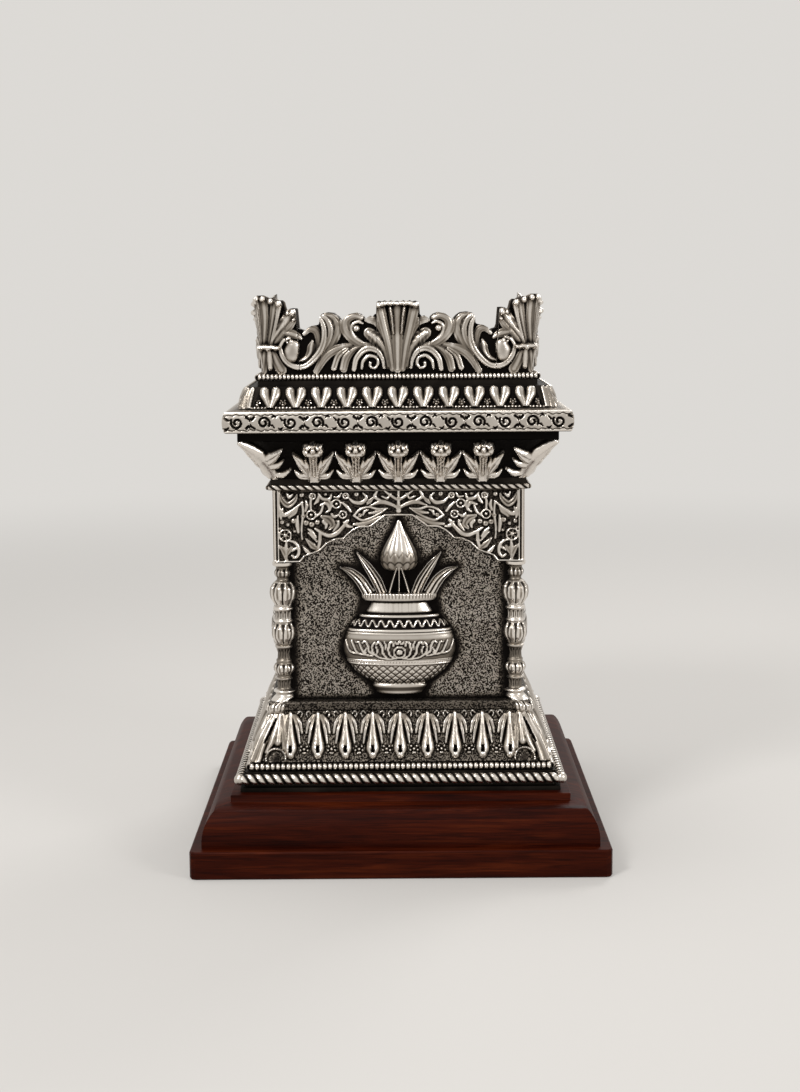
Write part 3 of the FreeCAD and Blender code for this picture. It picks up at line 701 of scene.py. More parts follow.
# Each leaf is a line of (across, up), its half widths, its rise, its groove and its veins.
crestLeaves = (
    (((30.1, 5.8), (27.9, 11.5), (24.0, 14.8)), (1.3, 1.4, 0.9), (1.8, 2.0), 0.35, 0),
    (((26.6, 5.4), (25.3, 10.6), (22.7, 13.6)), (0.9, 1.0, 0.8), 1.6, 0, 0),
    (((25.4, 5.2), (24.1, 10.1), (21.3, 14.1), (17.6, 16.2)), (1.4, 1.6, 1.5, 0.8), 2.2, 0.35, 0),
    (((20.6, 5.2), (19.5, 10.1), (16.6, 13.7), (13.1, 15.0), (9.5, 13.7), (7.2, 10.1), (6.4, 5.9)),
     (1.1, 1.3, 1.4, 1.3, 0.9, 0.7), 2.2, 0.3, 0),
    (((16.9, 5.6), (16.2, 9.2), (13.4, 11.6), (10.0, 10.6), (9.2, 8.0), (10.6, 5.8), (12.8, 6.4),
      (12.9, 8.2)),
     (0.7, 0.9, 0.9, 0.8, 0.8, 0.7, 0.7, 0.8), 1.9, 0, 0),
    (((38.4, 4.4), (33.8, 11.4), (28.6, 14.8), (22.0, 16.9)), (1.3, 1.9, 1.8, 0.9), (2.2, 2.8, 2.4),
     0.42, 0),
    (((37.2, 9.5), (32.0, 15.8), (28.7, 22.2), (28.5, 26.6), (30.4, 29.7), (33.6, 30.9)),
     (1.0, 1.7, 2.1, 2.0, 1.5, 0.9), (2.2, 2.8, 2.6), 0.42, 5),
    (((36.0, 12.5), (32.4, 18.8), (31.4, 23.8), (32.8, 28.2), (34.8, 30.2)),
     (0.8, 1.2, 1.4, 1.2, 0.9),
     (2.0, 2.6, 2.4), 0.2, 0),
    (((39.8, 10.9), (37.4, 16.3), (37.0, 20.4), (38.4, 23.6), (41.2, 24.2), (43.8, 22.0)),
     (0.8, 1.2, 1.6, 1.6, 1.4, 0.8), (1.8, 2.4), 0.4, 0),
    (((46.6, 9.2), (43.3, 10.4), (41.2, 13.0), (40.6, 16.0), (40.0, 18.6)),
     (0.6, 1.0, 1.6, 1.6, 0.6), 2.0, 0.2, 0),
    (((55.4, 16.0), (54.4, 11.8), (51.8, 8.3), (47.9, 6.5), (43.7, 6.9), (40.2, 9.4), (36.9, 13.3),
      (34.9, 17.6), (34.3, 22.2), (34.8, 26.2), (36.2, 29.2)),
     (0.9, 1.1, 1.2, 1.3, 1.3, 1.4, 1.5, 1.4, 1.3, 1.2, 0.9), (2.2, 2.6, 3.0, 2.6), 0.25, 0),
    (((55.3, 16.4), (53.6, 18.9), (50.9, 20.0)), (0.9, 0.9, 0.7), 2.0, 0, 0),
    (((53.4, 22.6), (49.2, 21.9), (46.6, 20.9), (45.0, 19.8)), (1.2, 1.9, 1.3, 0.5), (2.6, 2.2),
     0.35, 0),
    (((57.8, 17.6), (54.1, 22.2), (50.9, 25.6), (48.8, 28.2)), (0.9, 1.5, 1.8, 1.4), (2.4, 2.8),
     0.4, 0),
    (((60.0, 17.4), (56.6, 22.6), (53.0, 27.2), (50.0, 31.0)), (1.0, 1.6, 2.4, 2.6), (2.4, 3.2),
     0.25, 4),
    (((64.9, 16.7), (65.3, 28.0), (66.2, 38.2)), (1.0, 1.4, 1.9), (2.2, 3.0), 0.2, 0),
    (((63.1, 16.7), (62.3, 28.1), (62.9, 37.6)), (1.0, 1.4, 1.9), (2.2, 3.0), 0.35, 0),
    (((60.9, 17.0), (58.8, 28.1), (57.2, 36.6)), (0.9, 1.3, 2.0), (2.0, 2.8), 0.3, 0),
    (((59.6, 17.0), (56.8, 28.1), (55.4, 35.4)), (0.7, 0.9, 1.3), (2.0, 2.6), 0.2, 0),
    (((66.2, 16.7), (66.9, 28.0), (68.3, 38.4)), (0.7, 0.9, 1.5), (2.2, 3.0), 0, 0),
    (((62.8, 13.4), (63.6, 9.5), (64.4, 4.9)), (1.3, 1.9, 2.2), (2.6, 2.2), 0.35, 0),
    (((60.6, 13.4), (60.4, 9.6), (60.3, 5.9)), (1.2, 1.4, 1.0), (2.6, 1.8), 0, 0),
    (((58.9, 13.2), (57.2, 9.0), (55.0, 4.9)), (1.3, 1.9, 2.2), (2.6, 2.2), 0.35, 0),
    (((13.1, 16.4), (17.5, 17.2), (21.8, 20.5), (24.5, 24.5), (24.0, 28.4), (20.6, 30.3),
      (17.0, 29.4)),
     (0.9, 1.7, 2.1, 2.2, 2.0, 1.6, 1.0), (2.2, 3.0, 2.8), 0.38, 0),
    (((16.0, 17.8), (19.8, 20.2), (21.6, 23.6), (21.0, 26.4), (18.4, 27.6), (16.3, 26.8)),
     (0.6, 0.9, 0.9, 0.8, 0.6), (2.0, 2.4), 0, 0),
    (((4.4, 6.6), (6.2, 14.1), (9.5, 19.0), (13.3, 22.2)), (1.4, 2.4, 3.1, 2.3), (1.6, 2.4), 0.2,
     6),
    (((3.2, 13.8), (5.8, 22.0), (9.4, 27.2), (14.0, 28.6)), (1.2, 1.8, 1.8, 1.3), (2.4, 3.0), 0.5,
     0),
    (((2.3, 5.4), (3.9, 16.0), (6.2, 26.0), (8.2, 34.6)), (1.3, 1.6, 1.9, 2.2), (2.2, 3.2, 3.6),
     0.35, 0),
    (((0, 5.0), (0, 20.0), (0, 34.8)), (1.5, 2.2, 4.0), (2.6, 3.6, 3.8), 0.3, 0),
    (((1.9, 22.0), (2.5, 29.0), (3.3, 34.0)), (0.5, 0.6, 0.8), (3.4, 4.0), 0, 0),
    (((49.2, 16.2), (49.9, 13.6), (50.0, 11.6)), (2.7, 3.2, 2.7), 2.5, 0, 0),
    (((56.6, 15.4), (61.0, 15.7), (65.8, 15.3)), (1.1, 1.2, 1.1), 3.7, 0, 3),
    (((0.0, 36.1), (2.8, 36.2), (5.6, 36.0), (8.4, 35.4)), (1.1, 1.2, 1.2, 1.1), (4.2, 4.2), 0, 6),
)
# Each knob is its place, its radius and its rise.
crestKnobs = (
    ((19.3, 24.5), 1.9, 2.6), ((50.0, 18.6), 1.3, 2.6),
    ((48.4, 18.0), 0.9, 2.2), ((51.8, 18.1), 0.9, 2.2), ((49.2, 31.9), 1.9, 3.8),
    ((48.7, 28.7), 1.2, 3.0),
    ((51.6, 31.6), 1.2, 3.4), ((66.4, 38.3), 1.7, 3.6), ((63.4, 38.2), 1.7, 3.8),
    ((59.6, 37.2), 1.7, 3.6),
    ((55.9, 36.0), 1.8, 3.8), ((64.9, 14.6), 1.2, 3.2), ((61.0, 15.2), 2.0, 3.6),
    ((57.4, 15.1), 1.4, 3.4),
    ((8.8, 35.3), 1.7, 4.8), ((6.0, 36.0), 1.4, 4.6), ((3.0, 36.1), 1.35, 4.6),
    ((0, 36.0), 1.35, 4.6),
)


def crestRelief(values, copies=1):
    # Leafy plate: rows run from the foot to the outline, which is given as height over distance
    # from the middle. Small copies stand side by side: x and v stay those of the full size, and
    # heights are divided by the number.
    relief = panelGrid(values)
    (footHalf, foot), (headHalf, head) = values["foot"], values["head"]
    edge = np.array(values["outline"])
    own = np.abs(((relief["s"] + 1) * copies) % 2 - 1)
    relief["v"] = relief["t"] * np.interp(own * headHalf, edge[:, 0], edge[:, 1])
    share = relief["v"] / copies / relief["length"]
    relief["half"] = footHalf + (headHalf - footHalf) * share
    relief["level"] = foot + (head - foot) * share
    relief["across"] = relief["s"] * relief["half"]
    relief["x"] = own * (footHalf + (headHalf - footHalf) * share * copies)
    for line, widths, rise, groove, veins in crestLeaves:
        wider = np.array(widths) * values["fullness"]
        ribs = 1 if groove and max(widths) > values["ribbedFrom"] else 0
        pressLeaf(relief, line, wider, rise, groove, veins, ribs)
    for centre, radius, rise in crestKnobs:
        pressDome(relief, centre, radius, rise)
    relief["polish"] = shine(relief["h"], *values["polish"])
    relief["backPolish"] = values["backPolish"]
    relief["h"] /= copies
    depth, start = values["drawBack"]
    drawBack(relief, depth / copies, start)
    relief["h"] = np.maximum(relief["h"], -values["deepest"] / copies)
    return relief


for copies, sides in ((1, ("front", "right", "left")), (2, ("back",))):
    buildPanels("crestRelief", crestRelief(crest, copies), crest["sheet"] / copies, ["crest"],
                sides=sides)
print("crest made")


spandrel = {
    "half": 60.3,
    "low": 144.9,
    "high": 180.3,
    "columns": 301,
    "rows": 86,
    "sheet": 2.6,
    "ground": 1.15,
    "fullness": 1.45,
    "edge": ((0, 22.7), (6.3, 22.6), (7.1, 22.2), (12.8, 18.0), (13.8, 17.2), (19.3, 16.9),
             (22.6, 15.2), (25.4, 12.8), (26.6, 11.4), (30.7, 11.0), (34.8, 9.1), (38.0, 5.9),
             (38.8, 5.4), (45.7, 2.9), (47.8, 0.2), (60.8, 0.0)),
    "stemRise": 1.35,
    "stemCrown": 0.4,
    "petal": {"rise": 1.25, "eye": 0.3, "eyeDepth": 0.5},
    "flower": {"inset": 0.4, "rim": 0.6, "rimRise": 1.35, "heart": 0.4, "heartRise": 1.3},
    "pearls": {"reach": 0.52, "size": 0.2, "rise": 1.25},
    "border": {"width": 0.55, "rise": 1.6},
    "rims": {"places": (59.8, 58.2), "start": 0.3, "width": 0.5, "rise": 1.4},
    "topLine": {"inset": 0.4, "reach": 60, "width": 0.5, "rise": 1.0},
    "borderCrown": 0.35,
    "polish": (1.3, 0.5),
    "borderZone": {"from": 59.2, "height": 1.0, "above": 0.4, "brighter": 0.16},
    "stipple": 0.3,
    "stippleEnds": (0.05, 0.4),  # heights where the stipple starts to fade and is gone
}
# Each stem or leaf is its line of (across, up), its half widths and its groove.
vineStems = (
    (((57.5, 34.4), (57.6, 27.0), (55.3, 23.4), (51.4, 25.2), (46.2, 29.6)),
     (0.5, 0.8, 1.0, 0.8, 0.4), 0),
    (((57.0, 33.6), (55.4, 29.8), (52.8, 28.2), (50.0, 30.4), (48.8, 33.0)),
     (0.4, 1.0, 1.3, 0.9, 0.4), 0.5),
    (((53.6, 33.8), (52.6, 31.9), (50.9, 33.4)), (0.4, 0.7, 0.4), 0),
    (((46.4, 29.6), (46.0, 24.0), (46.8, 17.0), (46.6, 11.4)), (0.5, 0.55, 0.5, 0.4), 0),
    (((42.2, 26.0), (42.3, 29.0), (41.9, 31.4)), (0.5, 0.6, 0.5), 0),
    (((39.8, 22.6), (37.6, 24.4), (36.4, 27.4)), (0.5, 0.6, 0.5), 0),
    (((24.6, 20.4), (27.0, 17.2), (30.4, 14.0), (33.6, 13.2), (37.0, 14.4), (40.2, 16.6)),
     (0.7, 0.8, 0.9, 0.9, 0.8, 0.5), 0),
    (((36.9, 22.4), (33.7, 21.2), (31.9, 18.4), (33.4, 16.4)), (0.7, 1.5, 1.2, 0.6), 0.4),
    (((36.2, 20.0), (34.9, 18.4), (35.2, 16.8)), (0.8, 0.8, 0.5), 0),
    (((38.0, 14.2), (38.2, 10.4), (38.9, 7.0)), (0.7, 0.8, 0.6), 0),
    (((38.9, 6.4), (41.6, 8.2), (44.9, 11.8)), (0.3, 1.3, 0.3), 0.4),
    (((42.0, 4.6), (44.4, 5.6), (46.4, 8.4)), (0.3, 0.9, 0.3), 0),
    (((39.6, 10.2), (41.2, 12.6), (43.6, 14.6)), (0.3, 0.8, 0.3), 0),
    (((53.4, 10.8), (50.6, 10.2), (48.6, 7.8), (48.4, 4.6), (50.0, 2.6), (51.6, 3.6)),
     (0.4, 0.6, 0.7, 0.7, 0.6, 0.5), 0),
    (((48.6, 7.2), (50.2, 6.8), (51.6, 5.6)), (0.3, 0.7, 0.3), 0),
    (((57.2, 8.0), (55.4, 5.2), (54.2, 1.2)), (0.6, 1.1, 0.6), 0.3),
    (((51.8, 7.6), (53.2, 5.6), (54.4, 3.4)), (0.6, 1.0, 0.5), 0.3),
    (((54.2, 9.8), (54.5, 7.0), (54.3, 4.6)), (0.5, 0.9, 0.5), 0),
    (((38.6, 33.8), (36.6, 31.2), (33.2, 31.0), (32.2, 33.4)), (0.4, 0.8, 0.7, 0.4), 0),
    (((37.6, 28.0), (34.6, 28.8), (33.2, 26.0), (35.0, 24.4)), (0.5, 0.8, 0.7, 0.4), 0),
    (((27.0, 29.2), (24.8, 27.2), (23.0, 24.8)), (0.5, 0.7, 0.5), 0),
    (((23.8, 31.4), (21.4, 29.4), (17.6, 29.2), (15.4, 31.6), (17.0, 33.8)),
     (0.4, 0.8, 0.9, 0.7, 0.4), 0),
    (((27.6, 33.8), (28.8, 31.9), (31.0, 32.0)), (0.4, 0.6, 0.4), 0),
    (((5.4, 26.4), (10.0, 26.0), (14.4, 27.0), (18.6, 25.8), (21.6, 22.8)),
     (0.3, 0.6, 0.5, 0.6, 0.5), 0),
    (((5.4, 26.4), (9.2, 23.8), (13.4, 21.6), (17.6, 20.6), (21.6, 22.8)),
     (0.3, 0.5, 0.6, 0.6, 0.5), 0),
    (((7.6, 25.4), (10.8, 24.4), (14.2, 24.0)), (0.4, 0.8, 0.5), 0),
    (((14.8, 25.6), (16.4, 24.8), (17.0, 23.2)), (0.4, 0.7, 0.4), 0),
    (((8.6, 22.4), (12.8, 20.2), (17.0, 18.8), (21.6, 18.6)), (0.5, 0.9, 1.0, 0.6), 0),
    (((22.4, 17.4), (24.6, 17.8), (26.4, 19.6)), (0.4, 0.8, 0.5), 0),
    (((12.0, 31.6), (13.6, 30.0), (15.0, 28.6)), (0.4, 0.9, 0.5), 0.2),
    (((32.4, 23.8), (31.0, 22.4), (29.4, 23.0)), (0.4, 0.8, 0.5), 0),
    (((33.8, 30.4), (32.4, 28.8), (32.6, 26.8)), (0.4, 0.8, 0.5), 0),
    (((40.4, 28.6), (39.0, 30.2), (38.4, 32.2)), (0.4, 0.9, 0.5), 0),
    (((44.6, 30.2), (44.2, 27.6), (44.8, 25.2)), (0.4, 0.8, 0.5), 0),
    (((48.4, 27.6), (50.0, 24.6), (52.2, 22.6)), (0.4, 0.9, 0.5), 0.2),
    (((48.6, 22.8), (48.8, 18.6), (48.4, 14.8)), (0.4, 0.9, 0.5), 0),
    (((55.6, 26.4), (56.8, 23.8), (56.6, 21.6)), (0.4, 0.9, 0.5), 0),
    (((43.8, 16.6), (41.8, 15.0), (40.0, 12.4)), (0.4, 0.8, 0.5), 0),
    (((31.6, 15.2), (29.4, 18.0), (29.0, 20.2)), (0.4, 0.8, 0.5), 0),
    (((0, 26.2), (3.5, 28.2), (8.2, 29.4), (13.4, 27.8)), (0.6, 0.8, 1.0, 0.4), 0),
    (((0, 30.2), (3.0, 32.0), (6.6, 34.8)), (0.6, 0.7, 0.5), 0),
    (((0, 25.2), (0, 28.0), (0, 34.6)), (1.1, 0.7, 0.5), 0),
    (((8.6, 30.0), (11.4, 32.0), (10.4, 34.6)), (0.6, 0.8, 0.5), 0),
    (((3.6, 33.6), (5.4, 31.2), (8.0, 32.2)), (0.4, 0.6, 0.4), 0),
)
# Each round flower is its centre and radius. From the fourth on they have a ring of pearls.
firstPearled = 3
vineFlowers = (((42.1, 23.3), 2.5), ((29.9, 28.6), 2.4), ((26.9, 23.4), 2.1), ((54.7, 13.4), 3.2),
               ((41.4, 32.4), 1.8), ((25.4, 32.5), 1.7))
vinePetals = (((46.0, 22.6), 1.5), ((44.6, 19.4), 1.6), ((41.9, 18.6), 1.6), ((39.2, 19.7), 1.5),
              ((50.6, 20.4), 1.5), ((56.2, 19.8), 1.3), ((53.4, 18.6), 1.1), ((20.2, 33.2), 1.4),
              ((35.2, 33.2), 1.0), ((46.6, 33.0), 1.4), ((52.6, 22.2), 0.9), ((18.6, 23.0), 1.3),
              ((57.0, 16.6), 0.8), ((50.2, 15.4), 1.0), ((29.8, 20.2), 0.9))


def spandrelRelief(values):
    # Rows run from the scalloped edge to the top, so the edge is a clean line.
    relief = uprightGrid(values)
    edge = np.array(values["edge"])
    full = values["high"] - values["low"]
    low = np.interp(relief["x"], edge[:, 0], edge[:, 1])
    relief["v"] = low + relief["t"] * (full - low)
    relief["level"] = values["low"] + relief["v"]
    for line, widths, groove in vineStems:
        wider = np.array(widths) * values["fullness"]
        pressLeaf(relief, line, wider, values["stemRise"], groove, crown=values["stemCrown"])
    petal, flower, pearls = values["petal"], values["flower"], values["pearls"]
    for centre, radius in vinePetals:
        pressDome(relief, centre, radius, petal["rise"])
        pressDome(relief, centre, radius * petal["eye"], petal["eyeDepth"], how="cut")
    for number, (centre, radius) in enumerate(vineFlowers):
        pressRing(relief, centre, radius - flower["inset"], flower["rim"], flower["rimRise"])
        pressDome(relief, centre, radius * flower["heart"], flower["heartRise"])
        if number >= firstPearled:
            reach, size = radius * pearls["reach"], radius * pearls["size"]
            pressStar(relief, centre, reach, size, pearls["rise"])
    border, rims, topLine = values["border"], values["rims"], values["topLine"]
    crown = values["borderCrown"]
    pressLeaf(relief, edge + np.array([0, border["width"]]), border["width"], border["rise"],
              straight=True, crown=crown)
    for place in rims["places"]:
        pressLeaf(relief, ((place, rims["start"]), (place, full)), rims["width"], rims["rise"],
                  straight=True, crown=crown)
    level = full - topLine["inset"]
    pressLeaf(relief, ((0, level), (topLine["reach"], level)), topLine["width"], topLine["rise"],
              straight=True)
    zone = values["borderZone"]
    onBorder = (relief["x"] > zone["from"]) | (relief["v"] - low < zone["height"])
    brighter = zone["brighter"] * (onBorder & (relief["h"] > zone["above"]))
    relief["polish"] = shine(relief["h"], *values["polish"]) + brighter
    relief["stipple"] = values["stipple"] * (1 - ease(relief["h"], *values["stippleEnds"]))
    relief["h"] -= values["ground"]
    return relief


buildPanels("spandrelRelief", spandrelRelief(spandrel), spandrel["sheet"] - spandrel["ground"],
            ["arch"])
print("spandrels made")


wall = {
    "half": 57.5,
    "low": 76.9,
    "high": 180.3,
    "columns": 121,
    "rows": 110,
    "sheet": 1.2,
    "polish": 0.07,
    "brighter": 0.04,
    "stipple": 0.56,
    "potFade": (-1.6, 1.6),
    "shadeFade": (0.05, 0.75),
    "columnEdge": 50.6,
    "columnFade": (-1.0, 3.0),
    "footFade": (0.0, 2.5),
}
# Half width over level, a little outside the pot.
potOutline = ((13.6, 80.0), (16.4, 84.6), (24.4, 91.0), (29.6, 99.5), (29.8, 104.0), (27.2, 111.0),
              (21.2, 119.2), (19.8, 126.5), (19.8, 131.5), (10.0, 134.5), (0.0, 138.0))

# Painted shade halos round the leaves and the coconut: lines of (across, level) and half widths.
potShades = (
    (((14.6, 129.2), (18.8, 136.0), (23.4, 140.2), (28.6, 142.4)), (6.0, 5.4, 4.6, 2.4)),
    (((8.1, 129.4), (11.0, 136.2), (15.6, 143.4), (20.4, 149.7)), (6.4, 6.0, 4.4, 2.2)),
    (((0.0, 136.0), (0.0, 148.0), (0.0, 156.0), (0.0, 166.0)), (12.6, 12.6, 8.6, 2.6)),
)


def wallRelief(values):
    # Flat sheet. The stipple fades out close to the pot, the leaves, the coconut, the columns and
    # the sill, and the ground there is a little darker: painted shade.
    relief = uprightGrid(values)
    edge = np.array(potOutline)
    beside = relief["x"] - np.interp(relief["level"], edge[:, 1], edge[:, 0])
    shade = dict(relief, v=relief["level"], h=np.zeros_like(relief["h"]))
    for line, widths in potShades:
        pressLeaf(shade, line, widths, 1.0)
    shaded = ease(softened(shade["h"], 1), *values["shadeFade"])
    outsideShadeHalo = np.minimum(ease(beside, *values["potFade"]), 1 - shaded)
    outsideShadeHalo = outsideShadeHalo * ease(values["columnEdge"] - relief["x"], *values["columnFade"])
    outsideShadeHalo = outsideShadeHalo * ease(relief["level"] - values["low"], *values["footFade"])
    # Painted shade: darker ground close to the pot, the leaves, the coconut, the columns and the
    # sill.
    relief["polish"] = values["polish"] + values["brighter"] * outsideShadeHalo
    relief["stipple"] = values["stipple"] * outsideShadeHalo
    return relief


buildPanels("wallRelief", wallRelief(wall), wall["sheet"], ["wall"])
print("walls made")


pot = {
    "wall": 57.5,
    "profile": ((10.4, 80.0), (10.9, 80.3), (13.2, 83.6), (13.3, 84.3), (12.5, 84.7), (12.6, 85.4),
                (17.0, 87.6), (21.6, 91.2), (25.2, 96.0), (27.2, 101.2), (27.3, 104.2),
                (26.2, 108.6), (24.6, 112.4), (22.2, 115.8), (19.4, 118.4), (18.6, 119.4),
                (17.4, 119.9), (16.2, 120.2), (16.0, 120.9), (14.4, 123.2), (13.2, 125.2),
                (14.0, 125.9), (17.4, 126.3), (17.9, 127.2), (17.9, 129.0), (17.2, 129.7),
                (9.0, 129.9)),
    "depth": 0.31,
    "sunk": 0.25,
    "columns": 161,
    "rows": 170,
}
coconut = {
    "profile": ((0.3, 140.4), (4.6, 140.6), (7.4, 141.6), (8.9, 144.2), (9.1, 147.0), (8.2, 150.4),
                (6.2, 154.4), (3.8, 158.6), (2.0, 162.2), (0.9, 164.6), (0.15, 165.4)),
    "depth": 0.62,
    "flutes": 13,
    "fluteDepth": 0.45,
    "gapDepth": 0.25,
    "petalLevel": 146.2,
    "husk": (147.0, 151.0),
    "columns": 93,
    "rows": 60,
}


# Bands of the pot: the levels where each starts, is full, starts to end and has ended.
engraving = {
    "waveBand": (112.6, 113.0, 117.9, 118.3),
    "wave": {"level": 115.35, "rise": 1.4, "pitch": 4.5, "stroke": (0.26, 0.52)},
    "scrollBand": (97.6, 98.2, 107.4, 108.2),
    "wires": ((118.9, 0.55), (111.9, 0.6), (110.6, 0.35), (97.5, 0.4), (95.4, 0.5)),
    "cord": {"level": 96.45, "half": 0.55, "pitch": 1.5},
    "netBand": (84.9, 85.3, 94.5, 94.9),
    "net": {"cell": (4.1, 3.5), "top": 94.9, "size": 2.6},
    "netShade": (84.6, 85.6, 85.6, 88.6),
    "footBand": (80.0, 80.4, 84.2, 84.6),
    "footShade": (81.0, 81.8, 83.0, 83.6),
    "collar": (120.6, 121.4, 124.6, 125.3),
    "creases": ((120.0, 0.9), (125.5, 0.8)),
    "frill": (127.2, 127.7),
    "frillPitch": 1.9,
    "rose": {
        "centre": (0.0, 101.6),
        "dome": (1.3, 0.6),
        "ring": (2.7, 0.5, 0.5),
        "star": (1.0, 0.4, 0.5),
    },
    "scrollWidth": 1.1,
    "scrollRise": 0.5,
}


def potEngraving(arc, z, marks=engraving):
    # Bands from the top down: a wave on black, plain metal, grey under the scrolls, a cord of small
    # beads and a diamond net, with wires beside them. Heights and tones are sums of smooth steps.
    wave, cord, net = marks["wave"], marks["cord"], marks["net"]
    middle = wave["level"] + wave["rise"] * np.cos(2 * math.pi * arc / wave["pitch"])
    slope = wave["rise"] * 2 * math.pi / wave["pitch"] * np.sin(2 * math.pi * arc / wave["pitch"])
    stroke = 1 - ease(np.abs(z - middle) / np.sqrt(1 + slope ** 2), *wave["stroke"])
    black = zoneOf(z, *marks["waveBand"])
    height = black * (0.5 * stroke - 0.35)
    tone = 0.74 * (1 - black) + black * (0.02 + 0.85 * stroke)
    tone = tone - 0.24 * zoneOf(z, *marks["scrollBand"])
    for level, width in marks["wires"]:
        away = np.abs(z - level) / width
        height = height + 0.35 * np.sqrt(np.clip(1 - away ** 2, 0, 1))
        tone = np.where(away < 1, 0.92, tone) - 0.5 * zoneOf(away, 1.0, 1.2, 1.5, 2.2)
    across = ((arc / cord["pitch"]) % 1 - 0.5) * 2
    bead = np.sqrt(np.clip(1 - ((z - cord["level"]) / cord["half"]) ** 2 - across ** 2, 0, 1))
    height, tone = height + 0.3 * bead, tone + 0.4 * bead
    cell = (arc / net["cell"][0], (z - net["top"]) / net["cell"][1])
    first, second = (cell[0] + cell[1]) % 1, (cell[0] - cell[1]) % 1
    toLine = np.minimum(np.minimum(first, 1 - first), np.minimum(second, 1 - second)) * net["size"]
    toDot = np.hypot(first - 0.5, second - 0.5) * net["size"]
    netTone = 0.22 + 0.70 * ease(toLine, 0.12, 0.4) - 0.30 * (1 - ease(toDot, 0.2, 0.6))
    netHeight = 0.3 * ease(toLine, 0.15, 0.6) - 0.3
    inNet = zoneOf(z, *marks["netBand"])
    height = height * (1 - inNet) + netHeight * inNet
    tone = tone * (1 - inNet) + (netTone - 0.3 * zoneOf(z, *marks["netShade"])) * inNet
    return height, tone - zoneOf(z, *marks["footBand"]) * 0.42 * zoneOf(z, *marks["footShade"])


# Scrolls on the pot, each a line of (arc, level) and its half widths.
potScrolls = (
    (((1.6, 98.6), (5.0, 98.3), (9.4, 98.9), (12.6, 101.0), (13.6, 104.2), (12.2, 106.4)),
     (0.4, 0.5, 0.5, 0.5, 0.5)),
    (((2.6, 99.0), (4.6, 100.2), (5.4, 103.2), (4.6, 106.2), (3.2, 106.6), (3.0, 104.8)),
     (0.4, 0.5, 0.6, 0.5, 0.4)),
    (((6.2, 99.0), (8.0, 101.2), (8.6, 104.6), (10.2, 106.6), (11.4, 105.4)),
     (0.4, 0.6, 0.6, 0.5, 0.4)),
    (((7.4, 106.8), (6.6, 105.0), (7.0, 103.2)), (0.4, 0.5, 0.3)),
    (((11.4, 104.2), (10.8, 102.4), (11.2, 100.8)), (0.4, 0.5, 0.3)),
    (((12.8, 100.4), (15.0, 102.0), (15.6, 104.8), (17.2, 106.8), (18.8, 106.0)),
     (0.4, 0.6, 0.6, 0.5, 0.4)),
    (((13.2, 99.8), (17.0, 100.4), (19.0, 103.0), (20.6, 106.2), (22.6, 106.4)),
     (0.4, 0.6, 0.6, 0.5, 0.4)),
    (((17.6, 100.2), (21.4, 101.0), (23.6, 104.0), (25.4, 106.8)), (0.4, 0.6, 0.6, 0.4)),
    (((22.0, 100.6), (26.0, 101.4), (28.6, 104.4), (30.2, 106.8)), (0.4, 0.6, 0.6, 0.4)),
    (((16.4, 103.6), (17.2, 102.0), (16.6, 101.4)), (0.4, 0.5, 0.3)),
    (((0.0, 107.0), (1.0, 105.8), (2.2, 106.8)), (0.5, 0.5, 0.4)),
)


def potPoints(values, marks=engraving):
    # Half round turned form: x is the radius times sine, depth a share of the radius times cosine.
    radius, z = evenLine(values["profile"], values["rows"]).T
    a, r = np.meshgrid(np.linspace(-math.pi / 2, math.pi / 2, values["columns"]), radius)
    level = np.repeat(z[:, None], values["columns"], axis=1)
    arc = np.sin(a) * r * 0.55 + a * r * 0.45
    height, tone = potEngraving(arc, level)
    band = {"x": np.abs(arc), "v": level, "h": np.zeros_like(arc)}
    for line, widths in potScrolls:
        pressLeaf(band, line, np.array(widths) * marks["scrollWidth"], marks["scrollRise"])
    rose = marks["rose"]
    pressDome(band, rose["centre"], *rose["dome"])
    pressRing(band, rose["centre"], *rose["ring"])
    pressStar(band, rose["centre"], *rose["star"])
    drawn = ease(band["h"], 0.08, 0.35)
    outline = ease(softened(drawn, 1), 0.04, 0.4) * (1 - drawn)
    height = height + band["h"]
    tone = tone - 0.42 * outline + 0.42 * drawn
    frill, fold = ease(level, *marks["frill"]), np.abs(np.sin(arc * marks["frillPitch"]))
    height = height + 0.35 * frill * (fold - 0.4)
    tone = tone + frill * (0.5 * fold - 0.34)
    # Painted highlight on the collar: it is lighter, with streaks of painted reflection across it.
    paintedCollarStreaks = 0.16 * np.sin(arc * 2.7 + 1.3 * np.sin(arc * 1.1))
    tone = tone + zoneOf(level, *marks["collar"]) * (0.16 + paintedCollarStreaks)
    # Painted shade: the tone is near black in the two creases beside the collar.
    crease = np.minimum(*[np.abs(level - place) / width for place, width in marks["creases"]])
    # Painted light and shade: lighter facing the front, darker towards the sides of the half round.
    tone = tone * (0.08 + 0.92 * ease(crease, 0.3, 1.1)) * (0.66 + 0.46 * np.cos(a) ** 0.5)
    away = (r + height) / np.maximum(r, 1e-6)
    out = r * values["depth"] * np.cos(a) * away + 0.6 * height * (np.cos(a) > 0.02)
    return onWall(r * np.sin(a) * away, -values["wall"] - out, level, np.cos(a) < 0.01), tone


def onWall(x, y, level, atEdge):
    # The edges of a half round go a little way into the wall.
    return np.stack([x, np.where(atEdge, -pot["wall"] + pot["sunk"], y), level], axis=-1)


